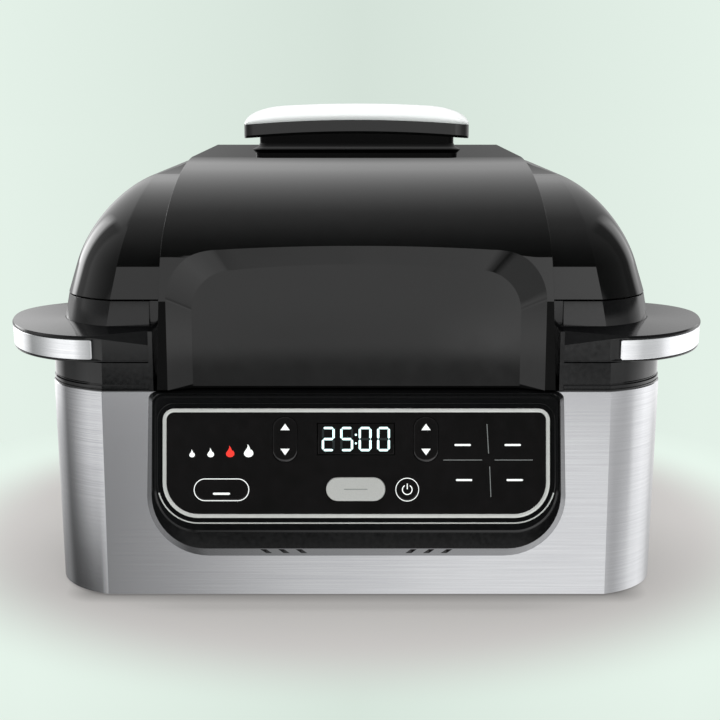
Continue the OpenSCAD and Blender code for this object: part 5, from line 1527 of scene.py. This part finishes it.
@dataclass
class CookingSpace:
    """Lift-out pot and cast grate, and the hood's fan and element."""

    pot_hw: float = 126
    y0: float = -106
    y1: float = 122
    pot_z: float = 68
    pot_top: float = 166
    pot_t: float = 1.6
    pot_rim: float = 4
    pot_r: float = 6
    pot_corner: float = 44
    bars: int = 15
    bar_w: float = 4.5
    grate_z: float = 81.9
    rib: float = 7
    fan_z: float = 191
    fan_h: float = 11
    fan_r: float = 46
    blades: int = 9
    coil_z: float = 185
    coil_out: float = 104
    coil_in: float = 62
    coil_turns: int = 3
    shield_z: float = 176
    shield_slots: int = 28

    @property
    def middle(self) -> float:
        """Middle of the pot from front to back."""
        return (self.y0 + self.y1) / 2

    def outline(self, t: float) -> list[Point2]:
        """Outline of the pot's rim, moved inwards by t."""
        return rrect(self.pot_hw - t, self.y0 + t, self.y1 - t, self.pot_corner - t)

    def pot(self) -> bpy.types.Object:
        """Pressed pot with rolled rim and rounded floor."""
        rim, wall, r, top = self.pot_rim, self.pot_rim + self.pot_t, self.pot_r, self.pot_top
        quarter = [90 * i / 6 for i in range(7)]
        levels = [(rim + r * (1 - sin(a)), self.pot_z + r * (1 - cos(a))) for a in quarter]
        levels += [(rim, top - 2.2), (0.5, top - 2), (0, top - 1.4), (0, top - 0.5), (0.5, top),
                   (wall - 0.6, top), (wall, top - 0.6)]
        levels += [(wall + r * (1 - cos(a)), self.pot_z + self.pot_t + r * (1 - sin(a)))
                   for a in quarter]
        rings = [level(self.outline(t), z) for t, z in levels]
        return Solid().loft(rings).build("cooking_pot_pressing", 35)

    def grate(self) -> bpy.types.Object:
        """Cast rim, feet and lifting loops of the grate; its bars are a piece of their own."""
        edge, z = 7.1, self.grate_z
        solid = Solid()
        rings = [(edge + 1, z), (edge, z + 1), (edge, z + self.rib - 1), (edge + 1, z + self.rib),
                 (edge + 8, z + self.rib), (edge + 9, z + self.rib - 1), (edge + 9, z + 1),
                 (edge + 8, z)]
        solid.loft([level(self.outline(t), h) for t, h in rings], closed=True)
        for x in (-102, 102):
            for y in (self.middle - 90, self.middle + 90):
                solid.loft([level(circle(x, y, r, 24), h) for r, h in
                            ((4, 69.9), (5, 71), (5, z + 1))])
        for x in (-1, 1):
            px = x * (self.pot_hw - edge - 4.5)
            path = [(-22, 6), (-22, 22), (-19, 27), (-13, 29), (13, 29), (19, 27), (22, 22),
                    (22, 6)]
            sections = []
            for k, (y, h) in enumerate(path):
                a, b = path[max(0, k - 1)], path[min(len(path) - 1, k + 1)]
                dy, dh = b[0] - a[0], b[1] - a[1]
                run = math.hypot(dy, dh)
                ny, nh = -dh / run, dy / run
                sections.append([(px + 2 * cos(c), self.middle + y + 2 * sin(c) * ny,
                                  z + h + 2 * sin(c) * nh) for c in range(0, 360, 30)])
            solid.loft(sections)
        return solid.build("grill_grate_casting", 35)

    def grate_bars(self) -> bpy.types.Object:
        """The bars, each with a narrowed sear edge, repeated across the grate."""
        span = 2 * (self.pot_hw - 16.1)
        depth, pitch = (self.y1 - self.y0) / 2 - 11.6, span / (self.bars + 1)
        half, z = self.bar_w / 2, self.grate_z
        profile = [(-half, z + 0.4), (-half + 0.4, z), (half - 0.4, z), (half, z + 0.4),
                   (half, z + 5.5), (1.1, z + 8.8), (0.7, z + 9), (-0.7, z + 9), (-1.1, z + 8.8),
                   (-half, z + 5.5)]
        bar = Solid().along(profile, self.middle - depth, self.middle + depth).build("bar")
        return repeat("grill_grate_bars", bar, self.bars, Coat.CAST_GRATE,
                      (-span / 2 + pitch, 0, 0), (pitch, 0, 0))

    def coil(self) -> bpy.types.Object:
        """Flat spiral of the heating element with its upturned ends."""
        steps, sides, r = 64, 14, 3.2
        total = steps * self.coil_turns
        centres = [(mix(self.coil_out, self.coil_in, i / total), 360 * i / steps)
                   for i in range(total + 1)]
        round_wire = [(r * cos(360 * j / sides), r * sin(360 * j / sides)) for j in range(sides)]
        solid = Solid().loft([[((q + out) * cos(a), self.middle + (q + out) * sin(a),
                                self.coil_z + up) for out, up in round_wire]
                              for q, a in centres])
        for q, a in (centres[0], centres[-1]):
            x, y = q * cos(a), self.middle + q * sin(a)
            solid.loft([level(circle(x, y, r, 20), z) for z in (self.coil_z, 215.6)])
        return solid.build("heating_coil_tube", 40)

    def fan(self) -> bpy.types.Object:
        """Bent blades of the fan, one pressing repeated round the hub."""
        top, rings = self.fan_h - 0.6, []
        for u in (k / 8 for k in range(9)):
            x, y = mix(self.fan_r * 0.3, self.fan_r * 0.93, u), 5 * u + 7 * u * u
            rings.append([(x - 0.3, y + 0.6, 0), (x + 0.3, y - 0.6, 0), (x + 0.3, y - 0.6, top),
                          (x - 0.3, y + 0.6, top)])
        return repeat("air_fan_blades", Solid().loft(rings).build("blade", 30), self.blades,
                      Coat.SHEET_STEEL, (0, self.middle, self.fan_z), turn=360 / self.blades)

    def fan_disc(self) -> bpy.types.Object:
        """Back disc and hub of the fan."""
        h, r, bore = self.fan_h, self.fan_r, 2.0
        profile = [(bore, 0), (7.4, 0), (8, 0.6), (8, h - 1.8), (9.5, h - 1.2), (r - 1, h - 1.2),
                   (r, h - 0.8), (r, h - 0.2), (r - 0.6, h), (bore, h)]
        return Solid().turned(profile, (0, self.middle, self.fan_z), 72).build("air_fan_disc", 30)

    def shield(self) -> bpy.types.Object:
        """Splatter shield with its ring of slots."""
        over, z = self.pot_hw + 4.5, self.shield_z
        sheet = Solid().slab(rrect(over, self.y0 - 3.5, self.y1 + 3.5, 45.5), z, z + 1)
        plate = sheet.build("splatter_shield_sheet")
        slots, near = Solid(), 50
        for i in range(self.shield_slots):
            a, far = 360 * i / self.shield_slots, 92 if i % 2 == 0 else 80
            outline = [(x * cos(a) - y * sin(a), self.middle + x * sin(a) + y * cos(a))
                       for x, y in pill((near + far) / 2, 0, (far - near) / 2, 2.4, 8)]
            slots.slab(outline, z - 6, z + 4)
        slots.slab(circle(0, self.middle, 12, 40), z - 6, z + 4)
        return carve(plate, [slots.build("slots")])

    def make(self) -> None:
        """Builds and dresses the cooking space."""
        dress(self.pot(), Coat.NONSTICK, "pot", "nonstick", ["cooking_pot"])
        dress(self.grate(), Coat.CAST_GRATE, "grate", "cast_grate", ["grill_grate"])
        dress(self.grate_bars(), Coat.CAST_GRATE, "grate", "cast_grate")
        dress(self.coil(), Coat.HOT_STEEL, "hood", "coil_steel", ["heating_coil"])
        dress(self.shield(), Coat.SHEET_STEEL, "hood", "sheet_steel", ["splatter_shield"])
        dress(self.fan_disc(), Coat.SHEET_STEEL, "fan", "motor_steel", ["air_fan"])
        dress(self.fan(), Coat.SHEET_STEEL, "fan", "motor_steel")


# ---------------------------------------------------------------- nodes kept from the frame


@dataclass
class KeptNodes:
    """CAD nodes whose shape is right: each gets its real material and smooth shading, and those in
    rounded_edges also get softly rounded edges.
    """

    reach: float = 0.02
    sharp: float = 17
    edge: float = 0.4
    finishes: dict[str, Coat] = field(default_factory=lambda: {
        "feet": Coat.RUBBER, "base_pan": Coat.BASE_PLASTIC, "rear_cover": Coat.BLACK_PLASTIC,
        "upper_frame": Coat.BLACK_PLASTIC, "heat_chamber": Coat.SHEET_STEEL,
        "heat_shield": Coat.SHEET_STEEL, "power_board": Coat.SOLDER_MASK,
        "control_board": Coat.SOLDER_MASK, "hinge_brackets": Coat.PLATED_STEEL,
        "hinge_pins": Coat.PLATED_STEEL, "cord_gland": Coat.RUBBER,
        "lid_switch": Coat.BASE_PLASTIC, "base_screws": Coat.PLATED_STEEL,
        "apron_back": Coat.BLACK_PLASTIC, "hood_liner": Coat.SHEET_STEEL,
        "hood_gasket": Coat.SILICONE, "coil_clips": Coat.PLATED_STEEL,
        "motor_bracket": Coat.PLATED_STEEL, "fan_motor": Coat.MOTOR_STEEL,
        "temperature_probe": Coat.PLATED_STEEL, "rear_vent": Coat.BLACK_PLASTIC,
        "hinge_arms": Coat.PLATED_STEEL, "fan_shaft": Coat.PLATED_STEEL})
    rounded_edges: tuple[str, ...] = ("feet", "base_pan", "rear_cover", "upper_frame", "hinge_arms",
                                      "hinge_brackets", "rear_vent", "cord_gland")

    def make(self) -> None:
        """Dresses the nodes where they stand."""
        tree = weld_tree()
        for name, coat in self.finishes.items():
            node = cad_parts[name]
            if not node.material_slots:
                node.data.materials.append(coat.material)
            for slot in node.material_slots:
                slot.material = coat.material
            add_tree(node, tree, {"Reach": self.reach * MM, "Sharp": math.radians(self.sharp)})
            if name in self.rounded_edges:
                round_edges(node, self.edge, 2, 35)
            LOG.info("%s: kept, %s", name, coat.value.name)


# ---------------------------------------------------------------- studio


# Grey of the studio in directions round the object, in degrees from the front, right positive.
# Each belt of height has its own: low steel, lowest steel, neck, apron and the apron's foot.
STEEL_ZONES = ((-180, 0.65), (-150, 0.56), (-130, 0.42), (-120, 0.28), (-112, 0.15),
               (-100, 0.3), (-88, 0.6), (-78, 0.85), (-68, 1.05), (-50, 1.1), (-40, 0.55),
               (-26, 0.2), (-10, 0.26), (-7, 0.36), (-3, 0.58), (2.5, 0.76), (7, 0.86),
               (13, 0.88), (27, 1.05), (44, 0.75), (55, 0.44), (63, 0.46), (72, 0.48),
               (80, 0.5), (89, 0.95), (106, 1.1), (122, 1.0), (138, 0.66), (180, 0.65))
LOWEST_ZONES = ((-180, 0.22), (-140, 0.2), (-126, 0.2), (-108, 0.06), (-80, 0.03), (-57, 0.05),
                (-50, 0.5), (-20, 0.5), (-13, 0.06), (-10.6, 0.26), (-7, 0.38), (-3, 0.6),
                (2.5, 0.78), (7, 0.84), (13, 0.86), (27, 1.05), (44, 0.75), (55, 0.44),
                (63, 0.46), (72, 0.6), (89, 0.88), (108, 0.95), (122, 0.8), (140, 0.5),
                (180, 0.22))
NECK_ZONES = ((-180, 0.22), (-160, 0.25), (-128, 0.9), (-112, 0.3), (-90, 0.25), (-60, 0.5),
              (-45, 0.75), (-10, 0.78), (5, 0.8), (9, 1.15), (13, 1.2), (45, 0.8), (60, 0.5),
              (90, 0.3), (112, 0.6), (128, 0.9), (160, 0.25), (180, 0.22))
APRON_ZONES = ((-180, 0.9), (-150, 1.2), (-128, 1.0), (-112, 0.25), (-90, 0.3), (-69, 0.6),
               (-52, 0.95), (-44, 0.9), (-24, 0.6), (-12, 0.8), (-9, 0.8), (-3, 0.7), (3, 0.76),
               (5.5, 1.05), (7.4, 1.05), (7.8, 0.04), (12, 0.04), (28, 0.06), (40, 0.9),
               (44, 0.95), (56, 0.9), (70, 0.5), (90, 0.6), (107, 1.1), (128, 1.0), (180, 0.9))
FOOT_ZONES = ((-180, 0.7), (-150, 1.2), (-128, 1.0), (-112, 0.25), (-90, 0.4), (-69, 0.8),
              (-40, 0.6), (-18, 0.5), (-14, 0.01), (-7.8, 0.01), (-7.3, 0.3), (6.8, 0.3),
              (8.0, 0.26), (13, 0.3), (44, 0.5), (70, 0.5), (107, 1.5), (128, 1.2), (180, 0.7))
# Heights of direction between which one belt gives way to the next
APRON_START, FOOT_START = (-0.148, -0.17), (-0.18, -0.192)
STEEL_START, LOWEST_START = (-0.205, -0.232), (-0.25, -0.325)
CEILING_START, FLANK_START = (-0.015, 0.015), (0.5, 0.58)
# Grey of the ceiling from front (-1) to back (1) and from left to right, and of its flanks
CEILING = ((-1, 0.02), (-0.6, 0.09), (-0.16, 0.2), (0.31, 0.32), (0.72, 0.58), (0.91, 0.74),
           (0.95, 0.62), (0.976, 0.3), (0.991, 0.13), (1, 0.09))
CEILING_ACROSS = ((-1, 1.0), (-0.6, 0.85), (0, 0.5), (0.5, 0.36), (1, 0.2))
FLANKS = ((-1, 0.4), (0.16, 0.5), (0.26, 0.3), (0.47, 0.2), (0.53, 0.7), (0.58, 1.25),
          (0.72, 1.3), (0.86, 1.3), (1, 1))
CEILING_GAIN = 2.0


@dataclass
class Studio:
    """Pale sweep of floor and air, soft lamps and the camera."""

    middle: str = "#d5e2d9"
    side: str = "#e4f1e8"
    spread: float = 0.25
    shine: float = 1.3
    fill_colour: str = "#eef3f0"
    fill: float = 0.5
    floor_size: float = 14
    horizon: float = 0.35
    # Painted shadow: the floor's tone runs to this grey towards the origin over shadow_run
    shadow: str = "#cdcac8"
    shadow_run: Point2 = (0.222, 0.31)
    lit_run: Point2 = (0.21, 0.36)
    lit_least: float = 0.5
    # Painted contact shade: the floor's tone falls to contact_least within contact_run of the
    # body's outline
    contact_half: Point2 = (0.15, 0.146)
    contact_run: float = 0.02
    contact_least: float = 0.42
    lens: float = 70
    place: Point3 = (0.0021, -0.9265, 0.2883)
    pitch: float = 79.084

    def pale(self, tree: bpy.types.NodeTree, x: Any, depth: Any) -> Any:
        """The backdrop's tone, a little deeper in the middle of the view.

        Args:
            tree: the node tree.
            x: socket of the place across.
            depth: its distance from the camera, as a socket, or one for a direction.

        Returns:
            The colour socket.
        """
        aside = add_node(tree, "ShaderNodeMath", {0: x}, operation="ABSOLUTE")
        aside = add_node(tree, "ShaderNodeMath", {0: aside, 1: depth}, operation="DIVIDE")
        return crossfade(tree, aside, (0, self.spread), linear(self.middle), linear(self.side))

    def lower_air(self, tree: bpy.types.NodeTree, x: Any, y: Any, z: Any) -> Any:
        """Shine from below the level of the eye, belt by belt."""
        ahead = add_node(tree, "ShaderNodeMath", {0: y, 1: -1.0}, operation="MULTIPLY")
        turn = add_node(tree, "ShaderNodeMath", {0: x, 1: ahead}, operation="ARCTAN2")
        turn = add_node(tree, "ShaderNodeMath", {0: turn}, operation="DEGREES")
        steel, lowest, neck, apron, foot = (
            grey_along(tree, turn, zones)
            for zones in (STEEL_ZONES, LOWEST_ZONES, NECK_ZONES, APRON_ZONES, FOOT_ZONES))
        steel = crossfade(tree, z, LOWEST_START, steel, lowest)
        belt = crossfade(tree, z, APRON_START, neck, apron)
        belt = crossfade(tree, z, FOOT_START, belt, foot)
        return crossfade(tree, z, STEEL_START, belt, steel)

    def upper_air(self, tree: bpy.types.NodeTree, x: Any, y: Any) -> Any:
        """Shine from above: bright behind, darker to the right, with flanks of its own."""
        grey, zones = CEILING_GAIN, []
        for value, stops in ((y, CEILING), (x, CEILING_ACROSS), (y, FLANKS)):
            grey = add_node(tree, "ShaderNodeMath", {
                0: grey_along(tree, value, stops), 1: grey}, operation="MULTIPLY")
            zones.append(grey)
        flank = add_node(tree, "ShaderNodeMath", {0: zones[2], 1: CEILING_GAIN},
                         operation="MULTIPLY")
        aside = add_node(tree, "ShaderNodeMath", {0: x}, operation="ABSOLUTE")
        return crossfade(tree, aside, FLANK_START, zones[1], flank)

    def air(self) -> None:
        """World: pale behind the object, a studio's bright and dark zones for its shine."""
        world = bpy.data.worlds.new("studio_air")
        bpy.context.scene.world = world
        world.use_nodes = True
        tree = world.node_tree
        tree.nodes.clear()
        way = add_node(tree, "ShaderNodeTexCoord").outputs["Generated"]
        x, y, z = add_node(tree, "ShaderNodeSeparateXYZ", {0: way}).outputs[:3]
        shine = crossfade(tree, z, CEILING_START, self.lower_air(tree, x, y, z),
                          self.upper_air(tree, x, y))
        seen, shone, soft = (
            add_node(tree, "ShaderNodeBackground", {"Color": colour, "Strength": power})
            for colour, power in ((self.pale(tree, x, 1.0), 1.0), (shine, self.shine),
                                  (linear(self.fill_colour), self.fill)))
        path = add_node(tree, "ShaderNodeLightPath").outputs
        glossy = add_node(tree, "ShaderNodeMixShader", {
            0: path["Is Glossy Ray"], 1: soft, 2: shone})
        final = add_node(tree, "ShaderNodeMixShader", {
            0: path["Is Camera Ray"], 1: glossy, 2: seen})
        add_node(tree, "ShaderNodeOutputWorld", {"Surface": final})

    def contact(self, tree: bpy.types.NodeTree, where: Any) -> bpy.types.NodeSocket:
        """Distance on the floor from the body's outline, as a rectangle seen from above, for the
        painted contact shade.
        """
        past = add_node(tree, "ShaderNodeVectorMath", {0: where}, operation="ABSOLUTE")
        past = add_node(tree, "ShaderNodeVectorMath", {0: past, 1: (*self.contact_half, 1)},
                        operation="SUBTRACT")
        past = add_node(tree, "ShaderNodeVectorMath", {0: past, 1: (0, 0, 0)},
                        operation="MAXIMUM")
        return add_node(tree, "ShaderNodeVectorMath", {0: past},
                        operation="LENGTH").outputs["Value"]

    def floor(self) -> None:
        """Pale floor with a painted shadow pool round the origin and a painted contact shade along
        the body's outline; near the object it is half lit paper that takes the lamps' shadow, and
        beyond it melts into the air.
        """
        half = self.floor_size / MM / 2
        plate = Solid().box((-half, -half / 2, -20), (half, half * 1.5, -0.05)).build("floor")
        material = bpy.data.materials.new("pale_sweep_painted_shadow")
        material.use_nodes = True
        tree = material.node_tree
        tree.nodes.clear()
        where = add_node(tree, "ShaderNodeTexCoord").outputs["Object"]
        x, y, _ = add_node(tree, "ShaderNodeSeparateXYZ", {0: where}).outputs[:3]
        depth = add_node(tree, "ShaderNodeMath", {0: y, 1: -self.place[1]}, operation="ADD")
        depth = add_node(tree, "ShaderNodeMath", {0: depth, 1: self.horizon},
                         operation="MAXIMUM")
        run = add_node(tree, "ShaderNodeVectorMath", {0: where}, operation="LENGTH")
        run = run.outputs["Value"]
        # Painted shadow pool round the origin, then painted contact shade along the outline
        tone = crossfade(tree, run, self.shadow_run, linear(self.shadow),
                         self.pale(tree, x, depth), curve="SMOOTHSTEP")
        tone = crossfade(tree, self.contact(tree, where), (0, self.contact_run), (0, 0, 0, 1),
                         tone, self.contact_least)
        paper = add_node(tree, "ShaderNodeBsdfDiffuse", {"Color": tone, "Roughness": 0.0})
        light = add_node(tree, "ShaderNodeEmission", {"Color": tone, "Strength": 1.0})
        lit = add_node(tree, "ShaderNodeMapRange", {
            "Value": run, "From Min": self.lit_run[0], "From Max": self.lit_run[1],
            "To Min": self.lit_least})
        mixed = add_node(tree, "ShaderNodeMixShader", {0: lit, 1: paper, 2: light})
        add_node(tree, "ShaderNodeOutputMaterial", {"Surface": mixed})
        plate.data.materials.append(material)
        plate.visible_glossy = False

    def lamp(self, name: str, place: Point3, aim: Point3, size: float, power: float) -> None:
        """Soft square lamp that lights without showing in the shine."""
        data = bpy.data.lights.new(name, "AREA")
        data.energy, data.size = power, size
        lamp = bpy.data.objects.new(name, data)
        bpy.context.scene.collection.objects.link(lamp)
        lamp.location = place
        way = [b - a for a, b in zip(place, aim)]
        lamp.rotation_mode = "QUATERNION"
        lamp.rotation_quaternion = Vector(way).to_track_quat("-Z", "Y")
        lamp.visible_glossy = False

    def make(self) -> None:
        """Sets up the studio."""
        self.air()
        self.floor()
        self.lamp("overhead_softbox", (0, 0.35, 1.5), (0, 0, 0), 1.3, 24)
        self.lamp("front_softbox", (0.4, -1.6, 1.2), (0, 0, 0.12), 1.2, 9)
        data = bpy.data.cameras.new("photo_camera")
        data.lens, data.sensor_width, data.clip_start = self.lens, 36, 0.01
        camera = bpy.data.objects.new("photo_camera", data)
        bpy.context.scene.collection.objects.link(camera)
        camera.location = self.place
        camera.rotation_euler = (math.radians(self.pitch), 0, 0)
        bpy.context.scene.camera = camera
        bpy.context.scene.view_settings.view_transform = "Standard"


def main() -> None:
    """Builds the studio and every sub-assembly."""
    logging.basicConfig(level=logging.INFO, format="%(name)s %(message)s")
    for part in (Studio(), Body(), Wings(), Hood(), HoodHandle(), Console(), CookingSpace(),
                 KeptNodes()):
        part.make()


if __name__ == "__main__":
    main()
